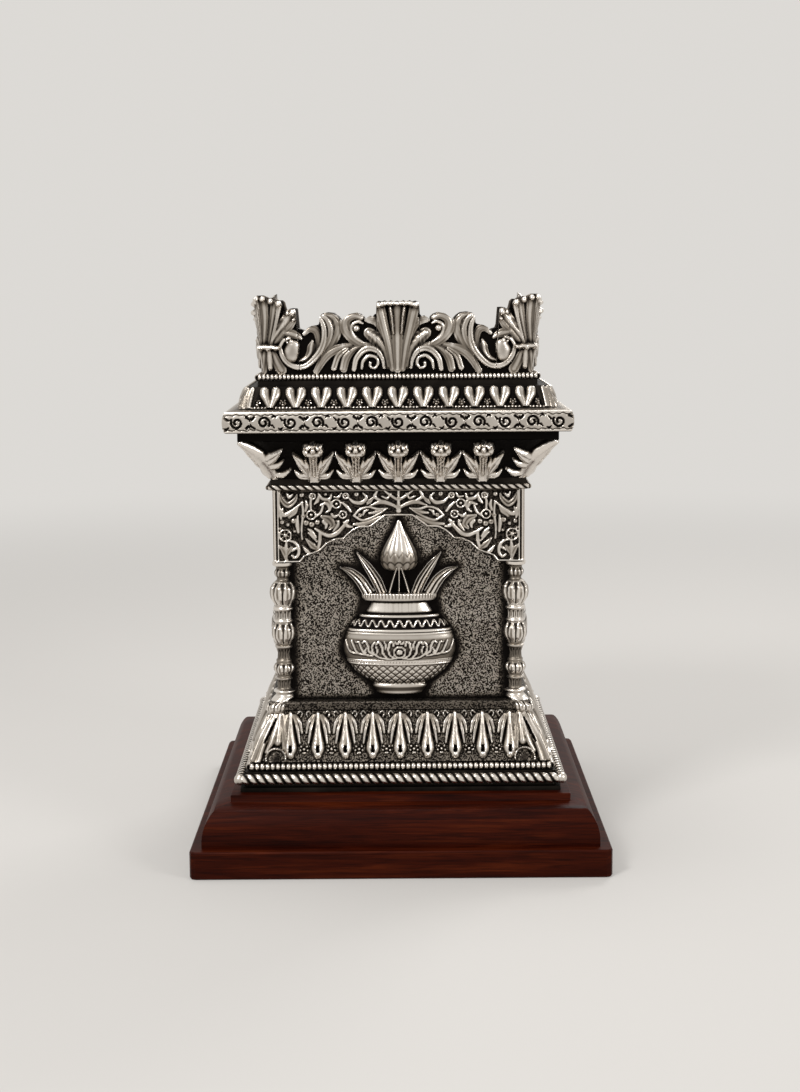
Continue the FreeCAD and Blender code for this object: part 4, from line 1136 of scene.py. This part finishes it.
def coconutPoints(values):
    # Half drop with flutes: the radius shrinks between them, and two rows of petals close round
    # its foot.
    line = smoothLine(values["profile"], values["rows"])
    a, r = np.meshgrid(np.linspace(-math.pi / 2, math.pi / 2, values["columns"]), line[:, 0])
    level = np.repeat(line[:, 1][:, None], values["columns"], axis=1)
    flute = np.abs(np.cos(a * values["flutes"] / 2)) ** 0.7
    between = np.abs(np.sin(a * values["flutes"] / 2))
    lower, upper = 143.4 + 1.8 * flute, 147.4 + 2.2 * between
    gap = 1 - ease(np.abs(level - np.where(level < values["petalLevel"], lower, upper)), 0.15, 0.6)
    sunk = (values["fluteDepth"] * (1 - flute) + values["gapDepth"] * gap) * ease(r, 1.0, 6.0)
    r = np.maximum(r - sunk, 0.05)
    # Painted highlight: above the petals the coconut is lighter, in streaks.
    paintedHuskStreaks = 0.5 + 0.5 * np.sin(a * 19 + 1.6 * np.sin(a * 5))
    husk = ease(level, *values["husk"])
    tone = 0.50 + 0.22 * flute * (1 - husk) + husk * (0.22 + 0.26 * paintedHuskStreaks) - 0.4 * gap * (1 - husk)
    # Painted shade: darker towards the sides of the half drop.
    tone = tone * (0.45 + 0.55 * np.cos(a) ** 0.5)
    y = -pot["wall"] - r * values["depth"] * np.cos(a)
    return onWall(r * np.sin(a), y, level, np.cos(a) < 0.01), tone


def ribbonPoints(line, widths, rise, ribs, count=34, across=17):
    # Leaf blade from the wall: ribs run beside the line as the size of a sine, so a broad blade has
    # bright edges. A stalk has one rib, of a cosine.
    spine = smoothLine(line, count)
    run = np.gradient(spine, axis=0)
    run /= np.hypot(run[:, 0], run[:, 1])[:, None]
    q, s = np.meshgrid(np.linspace(-1, 1, across), np.linspace(0, 1, count))
    half = along(widths, s)
    x = spine[:, :1] + run[:, 1:] * q * half
    z = spine[:, 1:] - run[:, :1] * q * half
    wave = np.sin if ribs > 1 else np.cos
    swell = np.abs(wave(q * math.pi * ribs / 2)) ** 0.8
    height = along(rise, s) * (0.45 + 0.55 * swell) * np.clip(1 - q ** 8, 0.0, 1)
    tone = 0.10 + 0.88 * ease(swell, 0.3, 0.75)
    return onWall(x, -pot["wall"] - height, z, np.abs(q) > 0.999), tone


# Blades beside the coconut, each a line, its half widths, its rise and its number of ribs.
mangoLeaves = (
    (((-14.6, 129.2), (-18.8, 136.0), (-23.4, 140.2), (-28.6, 142.4)), (3.2, 2.9, 2.1, 0.2),
     (2.6, 3.2, 2.4), 3),
    (((-8.1, 129.4), (-11.0, 136.2), (-15.6, 143.4), (-20.4, 149.7)), (2.6, 2.8, 2.1, 0.2),
     (2.6, 3.4, 2.6), 3),
)
stalks = (
    (((0, 129.4), (0, 135.0), (0, 143.4)), (0.7, 0.65, 0.8), (2.4, 4.0, 6.0), 1),
    (((-4.8, 129.4), (-3.2, 135.4), (-1.1, 142.6)), (0.85, 0.8, 0.7), (2.4, 3.6, 5.8), 1),
)


def openSheet(points):
    # Quads of a sheet, and one ring that closes its back.
    rows, columns = points.shape[:2]
    index = np.arange(rows * columns).reshape(rows, columns)
    rim = np.concatenate([index[0, :], index[1:, -1], index[-1, -2::-1], index[-2:0:-1, 0]])
    return gridQuads(rows, columns), rim[::-1]


def kalashPieces():
    # Pot, coconut and blades in one mesh. A blade beside the middle has a mirrored one.
    parts = [potPoints(pot), coconutPoints(coconut)]
    for line, widths, rise, ribs in mangoLeaves + stalks:
        parts.append(ribbonPoints([(-x, z) for x, z in line], widths, rise, ribs))
        if line[0][0]:
            parts.append(ribbonPoints(line, widths, rise, ribs))
    points, faces, tones, first = [], [], [], 0
    for place, tone in parts:
        quads, rim = openSheet(place)
        points.append(place.reshape(-1, 3))
        faces += [quads + first, rim + first]
        tones.append(tone.reshape(-1))
        first += len(points[-1])
    return np.vstack(points), faces, np.clip(np.concatenate(tones), 0, 1)


buildAround("kalashRelief", *kalashPieces(), ["kalash"])
print("pots made")


column = {
    "axis": 56.4,
    "profile": ((4.6, 71.8), (5.3, 72.8), (5.5, 74.4), (5.3, 75.8), (4.9, 77.2), (5.2, 78.0),
                (4.2, 79.6), (4.4, 80.4), (5.4, 80.8), (5.4, 81.6), (4.4, 82.0), (3.5, 82.4),
                (3.4, 83.4), (3.5, 86.8), (4.2, 87.2), (4.3, 87.9), (3.4, 88.4), (3.6, 89.2),
                (5.1, 91.4), (5.4, 92.8), (4.9, 94.2), (3.6, 95.4), (3.9, 95.9), (3.9, 96.7),
                (3.3, 97.2), (3.1, 100.0), (3.4, 102.4), (4.3, 103.0), (4.4, 103.8), (3.6, 104.3),
                (3.9, 105.2), (5.6, 107.8), (6.0, 109.8), (5.7, 112.4), (4.4, 114.6), (4.2, 115.3),
                (4.7, 115.7), (5.0, 116.2), (4.3, 116.8), (4.2, 118.6), (4.3, 121.2), (5.0, 121.8),
                (5.0, 122.6), (4.1, 123.2), (4.5, 124.4), (6.2, 127.2), (6.7, 129.8), (6.4, 132.6),
                (4.8, 134.8), (3.0, 136.2), (2.9, 137.2), (4.0, 138.6), (4.2, 140.2), (3.2, 141.8),
                (3.4, 142.6), (5.0, 143.4), (5.1, 144.9)),
    "rows": 180,
    "columns": 72,
    "tone": (0.48, 0.46),
    "toneRange": (3.2, 5.0),
    "footLean": 3.9,
    "footLevels": (74.6, 79.0),
    "cornerReach": 57.2,
    "cornerFace": 57.0,
    "petalFade": 0.8,
    "petals": ((71.8, 77.2, 10, 0.6), (82.6, 87.0, 12, 0.35), (97.2, 102.4, 12, 0.35),
               (117.0, 121.4, 12, 0.35), (89.0, 95.2, 8, 0.6), (104.6, 115.0, 8, 0.8),
               (123.8, 135.2, 8, 1.0), (137.0, 142.0, 6, 0.5)),
}


def columnPoints(values):
    # Turned post with petals: inside each zone the radius dips between petals, whose sides close to
    # a point. Its foot leans out over the corner of the sill. Points inside both walls move to one
    # upright line.
    radius, z = evenLine(values["profile"], values["rows"]).T
    angle = np.linspace(0, 2 * math.pi, values["columns"] + 1)[:-1] - math.pi / 4
    a, r = np.meshgrid(angle, radius)
    level = np.repeat(z[:, None], values["columns"], axis=1)
    tone = values["tone"][0] + values["tone"][1] * ease(r, *values["toneRange"])
    fade = values["petalFade"]
    for low, high, count, depth in values["petals"]:
        zone = zoneOf(level, low, low + fade, high - fade, high)
        lift = np.clip((level - low) / (high - low), 0, 1)
        aside = np.abs((count * (a + math.pi / 4) / (2 * math.pi)) % 1 - 0.5) * 2
        width = np.sqrt(np.clip(1 - (2 * lift - 0.7) ** 2 / 1.7, 0.02, 1))
        notch = ease(aside / width, 0.70, 1.0)
        r = r - zone * depth * notch
        vein = zone * (1 - ease(aside, 0.05, 0.3)) * ease(lift, 0.15, 0.4)
        flank = zone * ease(aside / width, 0.35, 0.6) * (1 - notch)
        tone = tone * (1 - 0.85 * zone * notch) - 0.45 * vein + 0.16 * flank
    axis = values["axis"] + values["footLean"] * (1 - ease(level, *values["footLevels"]))
    x, y = axis + r * np.cos(a), -axis + r * np.sin(a)
    inside = (x < values["cornerReach"]) & (y > -values["cornerReach"])
    x, y = np.where(inside, values["cornerFace"], x), np.where(inside, -values["cornerFace"], y)
    return np.stack([x, y, level], axis=-1), np.clip(tone, 0, 1)


columnPlace, columnTone = columnPoints(column)
rows, columns = columnTone.shape
ring = np.arange(columns)
columnFaces = [gridQuads(rows, columns, wrap=True), ring[::-1], (rows - 1) * columns + ring]
buildAround("cornerColumn", columnPlace, columnFaces, columnTone, ["column"])
print("columns made")


cove = {
    "foot": (62.2, 185.8),
    "head": (75.8, 205.2),
    "columns": 341,
    "rows": 66,
    "sheet": 3.4,
    "hollow": 0.7,
    "pitch": 20.1,
    "reach": 50.5,
    "lobeRise": 3.9,
    "eye": ((0, 19.2), 1.7, 0.5, 1.2),
    "cornerCrown": 0.6,
    "drawBack": (3.0, 0.82),
    "polish": (1.4, 0.55),
    "polishFade": (0.0, 0.5),
    "leafBright": 0.28,
    "cornerBright": 0.06,
    "cornerFrom": 60,
    "brightFade": (0.8, 2.0),
}
# Here and below, a leaf is a line of (across, up), its half widths, its rise and its groove.
lotusLeaves = (
    (((1.6, 1.6), (4.6, 2.4), (7.0, 3.2), (9.0, 5.6)), (1.2, 2.0, 1.4, 0.5), (1.8, 2.8, 2.0), 0.2),
    (((2.4, 3.2), (4.8, 8.0), (7.0, 12.4), (9.4, 16.8)), (1.3, 2.6, 2.0, 0.5), (2.2, 3.4, 3.2),
     0.3),
    (((2.2, 3.6), (3.1, 9.0), (3.7, 13.4)), (1.0, 1.5, 0.4), (2.2, 3.2, 2.8), 0),
    (((0, -0.4), (0, 2.6), (0, 5.6)), (3.6, 2.4, 1.6), 2.4, 0),
    (((0, 3.5), (0, 15.6)), (0.75, 0.8), 3.2, 0),
    (((1.7, 0.2), (1.35, 6.0), (1.3, 10.0), (1.6, 15.6)), (0.8, 0.65, 0.65, 0.8), (2.8, 3.0), 0),
    (((0.4, 15.8), (2.9, 16.9), (3.9, 18.8), (4.1, 21.6)), (1.5, 1.6, 1.3, 0.6), (3.0, 3.6, 3.6),
     0),
    (((0, 15.4), (0, 17.8), (0, 20.4), (0, 23.4)), (1.9, 2.2, 1.8, 0.8), (3.2, 3.9, 3.8), 0),
)
crownLobes = (((3.2, 18.6), 1.35), ((2.4, 21.1), 1.3), ((0, 22.4), 1.45), ((0, 19.2), 1.6))
coveCornerLeaves = (
    (((58.0, 2.0), (55.0, 3.0), (51.2, 6.6)), (2.4, 1.9, 0.4), (2.4, 2.2), 0),
    (((60.4, 7.6), (57.4, 9.0), (54.4, 12.2)), (2.6, 2.0, 0.4), (2.8, 2.4), 0),
    (((62.8, 10.6), (59.4, 14.0), (55.0, 18.6)), (3.6, 3.0, 0.6), (3.2, 2.8), 0.25),
    (((60.4, 0.0), (64.0, 7.6), (67.8, 13.8), (74.4, 22.2)), (3.8, 5.0, 5.0, 1.8), (2.8, 3.8, 3.8),
     0),
    (((64.4, 4.0), (67.6, 10.0), (71.6, 16.2), (74.6, 20.6)), (0.3, 0.5, 0.5, 0.3), (3.2, 4.1, 4.0),
     0),
)


def coveRelief(values):
    # Hollow face with sprays that repeat, crowned by domes, and larger leaves over the mitres.
    relief = panelGrid(values)
    spray = foldedRow(relief, values["pitch"], values["reach"])
    pressLeaves(spray, lotusLeaves)
    for centre, radius in crownLobes:
        pressDome(spray, centre, radius, values["lobeRise"])
    pressRing(spray, *values["eye"], how="cut")
    pressLeaves(relief, coveCornerLeaves, values["cornerCrown"])
    corner = ease(relief["x"], values["reach"], values["cornerFrom"])
    bright = values["leafBright"] + values["cornerBright"] * corner
    polish = shine(relief["h"], *values["polish"]) * ease(relief["h"], *values["polishFade"])
    relief["polish"] = polish + bright * ease(relief["h"], *values["brightFade"])
    drawBack(relief, *values["drawBack"])
    return relief


buildPanels("coveRelief", coveRelief(cove), cove["sheet"], ["cove", "lotus_sprays"],
            ["cove_corner_leaves"])
print("cove made")


band = {
    "half": 80.6,
    "low": 209.8,
    "high": 219.1,
    "bulge": 0.9,
    "columns": 441,
    "rows": 42,
    "skin": 0.45,
    "pitch": 12.5,
    "scroll": {"outer": 2.9, "inner": 0.9, "turns": 1.2, "start": 150},
    "scrollCut": (0.62, 0.75),
    "edgeLine": {"inset": 1.1, "depth": 0.35, "stroke": (0.12, 0.42)},
    "wobbles": ((0.24, 1.9, 0.0), (0.2, 0.83, 1.0)),
    "rail": (1.1, 0.7),
    "polish": {"dark": 0.04, "bright": 0.74, "rail": 0.16, "full": 0.42},
}
# Small cuts beside each spiral, each a line, its half widths and its depth.
bandCuts = (
    (((-3.9, 1.2), (-5.0, 2.4)), (0.6, 0.3), 0.7),
    (((-3.7, -2.2), (-4.6, -3.1), (-5.6, -2.6)), (0.3, 0.6, 0.3), 0.7),
    (((4.5, -2.5), (5.6, -1.5), (6.3, -2.6)), (0.7, 0.6, 0.3), 0.8),
    (((4.4, 2.6), (5.6, 1.7), (6.3, 0.3)), (0.7, 0.55, 0.3), 0.7),
)


def bandRelief(values):
    # Bulged band: engraved spirals that turn in alternate directions between two wavy lines.
    relief = uprightGrid(values)
    relief["sunk"] = -values["bulge"] * 4 * relief["t"] * (1 - relief["t"])
    number = np.round(relief["across"] / values["pitch"])
    sense = np.where(number % 2 == 0, 1.0, -1.0)
    middle = (values["high"] - values["low"]) / 2
    relief["h"] += values["skin"]
    folded = (relief["across"] - number * values["pitch"]) * sense
    scroll = dict(relief, x=folded, v=(relief["v"] - middle) * sense)
    spiral = spiralLine((0, 0), **values["scroll"])
    pressLeaf(scroll, spiral, *values["scrollCut"], how="cut", straight=True)
    for line, widths, depth in bandCuts:
        pressLeaf(scroll, line, widths, depth, how="cut")
    wobble = sum(size * np.sin(relief["across"] * rate + start)
                 for size, rate, start in values["wobbles"])
    edgeLine = values["edgeLine"]
    for level in (edgeLine["inset"], relief["length"] - edgeLine["inset"]):
        line = np.abs(relief["v"] - level - wobble)
        relief["h"] -= edgeLine["depth"] * (1 - ease(line, *edgeLine["stroke"]))
    low, full = values["rail"]
    rail = ease(np.abs(relief["v"] - middle), middle - low, middle - full)
    polish = values["polish"]
    bright = (polish["bright"] + polish["rail"] * rail) * ease(relief["h"], 0.0, polish["full"])
    relief["polish"] = np.clip(polish["dark"] + bright, 0, 1)
    return relief


bandGrid = bandRelief(band)
cornice = {"lip": 66.0, "recess": 75.5, "low": 205.2, "roofHalf": 74.5, "roof": 220.4, "shell": 1.2,
           "sharp": 60}


def corniceStrip(values):
    # Recess, band and roof of the cornice as one closed strip: rows follow its section once round.
    # Each row is its half width, its level and its tone.
    lip, recess, shell = values["lip"], values["recess"], values["shell"]
    low, roof = values["low"], values["roof"]
    under = [(lip, low, 0.2), (recess, low, 0.05), (recess, band["low"] - 0.5, 0.02),
             (band["half"] - 0.3, band["low"] - 0.4, 0.4)]
    over = [(band["half"] - 0.4, band["high"] + 0.35, 0.7), (values["roofHalf"] + 0.4, roof, 0.3),
            (lip, roof, 0.2)]
    inside = [(lip, roof - shell, 0.2), (recess - shell, roof - 2 * shell, 0.2),
              (recess - shell, low + shell, 0.2), (lip, low + shell, 0.2)]
    s = np.linspace(-1, 1, band["columns"])

    def rowsOf(section):
        places = [np.stack([s * half, 0 * s - half, 0 * s + level], axis=-1)
                  for half, level, tone in section]
        return places, [0 * s + tone for half, level, tone in section]

    bandRows = (panelPoints(bandGrid), bandGrid["polish"])
    places, tones = zip(rowsOf(under), bandRows, rowsOf(over + inside))
    return np.concatenate(places), np.concatenate(tones)


cornicePlace, corniceTone = corniceStrip(cornice)
index = np.arange(corniceTone.size).reshape(corniceTone.shape)
corniceFaces = [quadsOf(np.vstack([index, index[:1]])), index[:, 0], index[:, -1][::-1]]
buildAround("corniceBand", cornicePlace, corniceFaces, corniceTone, extra=["cornice"],
            sharp=cornice["sharp"])
print("cornice made")


tier = {
    "foot": (74.6, 220.5),
    "head": (70.0, 230.3),
    "columns": 401,
    "rows": 38,
    "sheet": 2.6,
    "pitch": 11.97,
    "reach": 66.6,
    "star": ((6.05, 2.6), 1.35, 0.62, 1.9),
    "drawBack": (2.2, 0.9),
    "polish": (1.7, 0.35),
    "dark": 0.03,
    "bright": 0.90,
    "ticks": {"rate": 1.9, "ends": (0.6, 1.0), "polish": 0.8, "rise": 0.6},
    "skin": 0.1,
}
heartLeaves = (
    (((0.5, 0.2), (1.4, 3.2), (2.5, 6.4), (2.7, 8.2)), (1.1, 1.9, 2.6, 2.5), (1.8, 2.6, 2.6), 0),
)
tierCornerLeaves = (
    (((70.2, 0.6), (69.6, 5.5), (68.4, 9.8)), (1.6, 1.9, 1.5), (2.2, 2.6), 0.2),
    (((72.6, 0.6), (72.0, 5.5), (70.4, 9.8)), (1.4, 1.9, 1.5), (2.4, 2.8), 0.2),
    (((74.6, 0.6), (73.6, 5.5), (71.6, 9.8)), (1.2, 1.6, 1.2), (2.6, 3.0), 0.2),
)


def tierRelief(values):
    # Row of heart leaves with a star between each two, over a line of small ticks at the foot.
    relief = panelGrid(values)
    row = foldedRow(relief, values["pitch"], values["reach"])
    pressLeaves(row, heartLeaves)
    pressStar(row, *values["star"])
    pressLeaves(relief, tierCornerLeaves)
    ticks = values["ticks"]
    tick = np.abs(np.sin(relief["across"] * ticks["rate"]))
    tick = (1 - ease(relief["v"], *ticks["ends"])) * tick
    polish = values["dark"] + values["bright"] * shine(relief["h"], *values["polish"])
    relief["polish"] = np.maximum(polish, ticks["polish"] * tick)
    relief["h"] = np.maximum(relief["h"], ticks["rise"] * tick) + values["skin"]
    drawBack(relief, *values["drawBack"])
    return relief


buildPanels("heartTier", tierRelief(tier), tier["sheet"], [], ["heart_leaves"])
print("hearts made")


skirt = {
    "foot": (72.5, 49.4),
    "head": (62.9, 72.3),
    "columns": 361,
    "rows": 72,
    "sheet": 3.4,
    "pitch": 13.3,
    "reach": 56.0,
    "drop": ((0, 2.9), 1.35, 3.4),
    "seeds": ((0, 24.4), (1.6, 24.1)),
    "seed": (0.6, 1.8),
    "star": ((6.65, 5.9), 1.9, 0.8, 2.0),
    "shell": {"centre": (60.2, 1.4), "clear": (3.7, 4.4), "rim": (4.8, 0.7, 2.9)},
    "shellDome": ((60.2, 1.6), 2.4, 0.45),
    "drawBack": (2.8, 0.84),
    "polish": (2.3, 0.42),
    "dark": 0.05,
    "bright": 0.84,
    "stipple": 0.46,
    "stippleEnds": (0.05, 0.6),
}
hangingLeaves = (
    (((2.2, 22.4), (4.5, 19.0), (5.6, 13.8)), (1.0, 1.2, 0.8), (2.0, 2.6, 2.2), 0.2),
    (((1.5, 22.4), (3.4, 15.6), (4.5, 8.8)), (1.0, 1.15, 0.7), (2.2, 2.8, 2.0), 0.2),
    (((0, 23.2), (0, 17.0), (0, 12.0), (0, 8.6), (0, 6.4), (0, 4.6), (0, 3.2)),
     (1.3, 1.8, 2.6, 3.4, 3.6, 3.2, 2.3), (2.8, 3.0, 3.3, 3.0), 0),
    (((3.4, 23.2), (4.6, 24.4), (5.6, 23.2), (5.0, 21.6)), 0.6, 2.0, 0),
)
skirtCornerLeaves = (
    (((57.0, 23.2), (54.9, 19.0), (53.9, 13.4)), (1.0, 1.5, 1.0), (2.0, 2.4, 2.0), 0.2),
    (((57.6, 23.2), (56.4, 15.0), (55.9, 6.6)), (1.1, 1.8, 1.7), (2.2, 2.8, 2.6), 0.3),
    (((58.4, 23.2), (58.9, 16.0), (59.4, 9.6)), (1.2, 1.7, 2.4), (2.6, 3.0, 2.8), 0),
    (((58.8, 23.2), (60.8, 15.4), (62.6, 9.4), (65.0, 4.8)), (1.1, 1.8, 2.0, 1.1), (2.6, 3.2, 2.8),
     0),
    (((60.4, 23.4), (63.8, 16.0), (67.6, 7.4), (69.6, 1.0)), (1.4, 2.1, 2.6, 2.6), (2.8, 3.6, 3.2),
     0.2),
    (((62.2, 23.4), (66.8, 13.0), (71.6, 1.0)), (0.8, 1.5, 1.8), (2.8, 3.8, 3.4), 0),
)


# Furrows down a hanging leaf and in a corner leaf, each a line, its half widths and its depth.
leafFurrows = (
    (((0, 4.9), (0, 7.0)), (0.9, 0.6), (2.4, 1.6)),
    (((0, 7.0), (0, 12.0), (0, 17.0)), (0.9, 0.7, 0.4), (0.9, 0.5, 0.3)),
)
cornerFurrow = (((60.2, 21.0), (62.6, 15.8), (65.6, 9.4)), (0.3, 0.7, 0.4), 2.6)


def skirtRelief(values):
    # Row of hanging leaves with a star between each two, and a fan of leaves over a small shell at
    # the mitres.
    relief = panelGrid(values)
    row = foldedRow(relief, values["pitch"], values["reach"])
    pressLeaves(row, hangingLeaves)
    for line, widths, depth in leafFurrows:
        pressLeaf(row, line, widths, depth, how="cut")
    pressDome(row, *values["drop"])
    for spot in values["seeds"]:
        pressDome(row, spot, *values["seed"])
    pressStar(row, *values["star"])
    pressLeaves(relief, skirtCornerLeaves)
    pressLeaf(relief, *cornerFurrow, how="cut")
    shell = values["shell"]
    distance = np.hypot(relief["x"] - shell["centre"][0], relief["v"] - shell["centre"][1])
    relief["h"] *= np.where(distance < shell["clear"][1], ease(distance, *shell["clear"]), 1)
    pressRing(relief, shell["centre"], *shell["rim"])
    pressDome(relief, *values["shellDome"])
    relief["polish"] = values["dark"] + values["bright"] * shine(relief["h"], *values["polish"])
    relief["stipple"] = values["stipple"] * (1 - ease(relief["h"], *values["stippleEnds"]))
    drawBack(relief, *values["drawBack"])
    return relief


buildPanels("skirtRelief", skirtRelief(skirt), skirt["sheet"], ["skirt", "skirt_leaves"],
            ["skirt_corner_leaves"])
print("skirt made")


stage = {
    "floorSize": 12.0,
    "floorFinish": {"Roughness": 0.9, "Specular IOR Level": 0.1},
    "background": (0.72, 0.70, 0.67),
    "floorColour": (0.57, 0.55, 0.525),
    "fadeStart": 0.35,
    "fadeEnd": 1.5,
    "fadeLeast": 0.25,
    "worldColour": (1, 0.98, 0.95),
    "worldStrength": 0.42,
    "aim": (0, 0, 0.14),
    "lamps": (  # name, place, size and power
        ("keyLight", (-0.60, -0.85, 0.95), 0.28, 9.0),
        ("fillLight", (0.85, -0.70, 0.55), 0.35, 4.0),
        ("rimLight", (0.50, 0.75, 0.90), 0.40, 5.0),
        ("topLight", (-0.15, 0.05, 1.20), 0.60, 5.0),
    ),
}


def seenShare(tree):
    # 1 for rays from the camera and for mirror and glass rays, 0 for the rays that light the
    # object.
    path = addNode(tree, "LightPath", {})
    share = path.outputs["Is Camera Ray"]
    for label in ("Is Glossy Ray", "Is Transmission Ray"):
        share = mathOf(tree, "MAXIMUM", share, path.outputs[label])
    return share


def floorMaterial(values):
    # Pale matt floor. With the distance from the object it passes into the plain background colour.
    material = bpy.data.materials.new("paleFloor")
    tree = newTree(material)
    colour = {"Base Color": (*values["floorColour"], 1)}
    shader = addNode(tree, "BsdfPrincipled", dict(values["floorFinish"], **colour))
    place = addNode(tree, "TexCoord", {}).outputs["Object"]
    distance = addNode(tree, "VectorMath", {0: place}, operation="LENGTH").outputs["Value"]
    fade = addNode(tree, "MapRange", {
        "Value": distance, "From Min": values["fadeStart"], "From Max": values["fadeEnd"],
        "To Min": values["fadeLeast"]}, interpolation_type="SMOOTHSTEP").outputs["Result"]
    share = mathOf(tree, "MULTIPLY", fade, seenShare(tree))
    glow = addNode(tree, "Emission", {"Color": (*values["background"], 1)}).outputs["Emission"]
    mix = addNode(tree, "MixShader", {"Fac": share, 1: shader.outputs["BSDF"], 2: glow})
    addNode(tree, "OutputMaterial", {"Surface": mix.outputs["Shader"]})
    return material


def makeWorld(values):
    # Soft even light, and the background colour for rays from the camera and for mirror and glass
    # rays.
    world = bpy.data.worlds.new("studio")
    bpy.context.scene.world = world
    tree = newTree(world)
    seen = addNode(tree, "Background", {"Color": (*values["background"], 1)}).outputs["Background"]
    glow = {"Color": (*values["worldColour"], 1), "Strength": values["worldStrength"]}
    light = addNode(tree, "Background", glow).outputs["Background"]
    mix = addNode(tree, "MixShader", {"Fac": seenShare(tree), 1: light, 2: seen})
    addNode(tree, "OutputWorld", {"Surface": mix.outputs["Shader"]})


def makeStage(values):
    # Floor, lamps that point at the aim, and the world.
    half = values["floorSize"] / 2
    mesh = bpy.data.meshes.new("floor")
    corners = [(-half, -half, 0), (half, -half, 0), (half, half, 0), (-half, half, 0)]
    mesh.from_pydata(corners, [], [(0, 1, 2, 3)])
    mesh.materials.append(floorMaterial(values))
    floor = bpy.data.objects.new("floor", mesh)
    bpy.context.scene.collection.objects.link(floor)
    for name, place, size, energy in values["lamps"]:
        light = bpy.data.lights.new(name, "AREA")
        light.energy = energy
        light.size = size
        lamp = bpy.data.objects.new(name, light)
        bpy.context.scene.collection.objects.link(lamp)
        lamp.location = place
        sight = Vector(values["aim"]) - Vector(place)
        lamp.rotation_euler = sight.to_track_quat("-Z", "Y").to_euler()
    makeWorld(values)


view = {
    "lens": 55.99,
    "sensor": 36,
    "place": (0.0, -0.870, 0.2775),
    "tilt": 8.0,
    "roll": -0.40,
    "shift": -0.0204,
    "shiftAcross": 0.0012,
    "nearest": 0.01,
    "furthest": 20,
}


def makeCamera(values):
    data = bpy.data.cameras.new("photoCamera")
    data.lens = values["lens"]
    data.sensor_width = values["sensor"]
    data.sensor_fit = "AUTO"
    data.shift_x = values["shiftAcross"]
    data.shift_y = values["shift"]
    data.clip_start = values["nearest"]
    data.clip_end = values["furthest"]
    camera = bpy.data.objects.new("photoCamera", data)
    camera.location = values["place"]
    # The roll turns the camera about its own line of sight, after the tilt.
    upright = Matrix.Rotation(math.radians(90 - values["tilt"]), 3, "X")
    roll = Matrix.Rotation(math.radians(values["roll"]), 3, "Z")
    camera.rotation_euler = (upright @ roll).to_euler()
    bpy.context.scene.collection.objects.link(camera)
    bpy.context.scene.camera = camera


makeStage(stage)
makeCamera(view)
bpy.context.scene.view_settings.view_transform = "Standard"
bpy.context.view_layer.update()

print("scene ready")
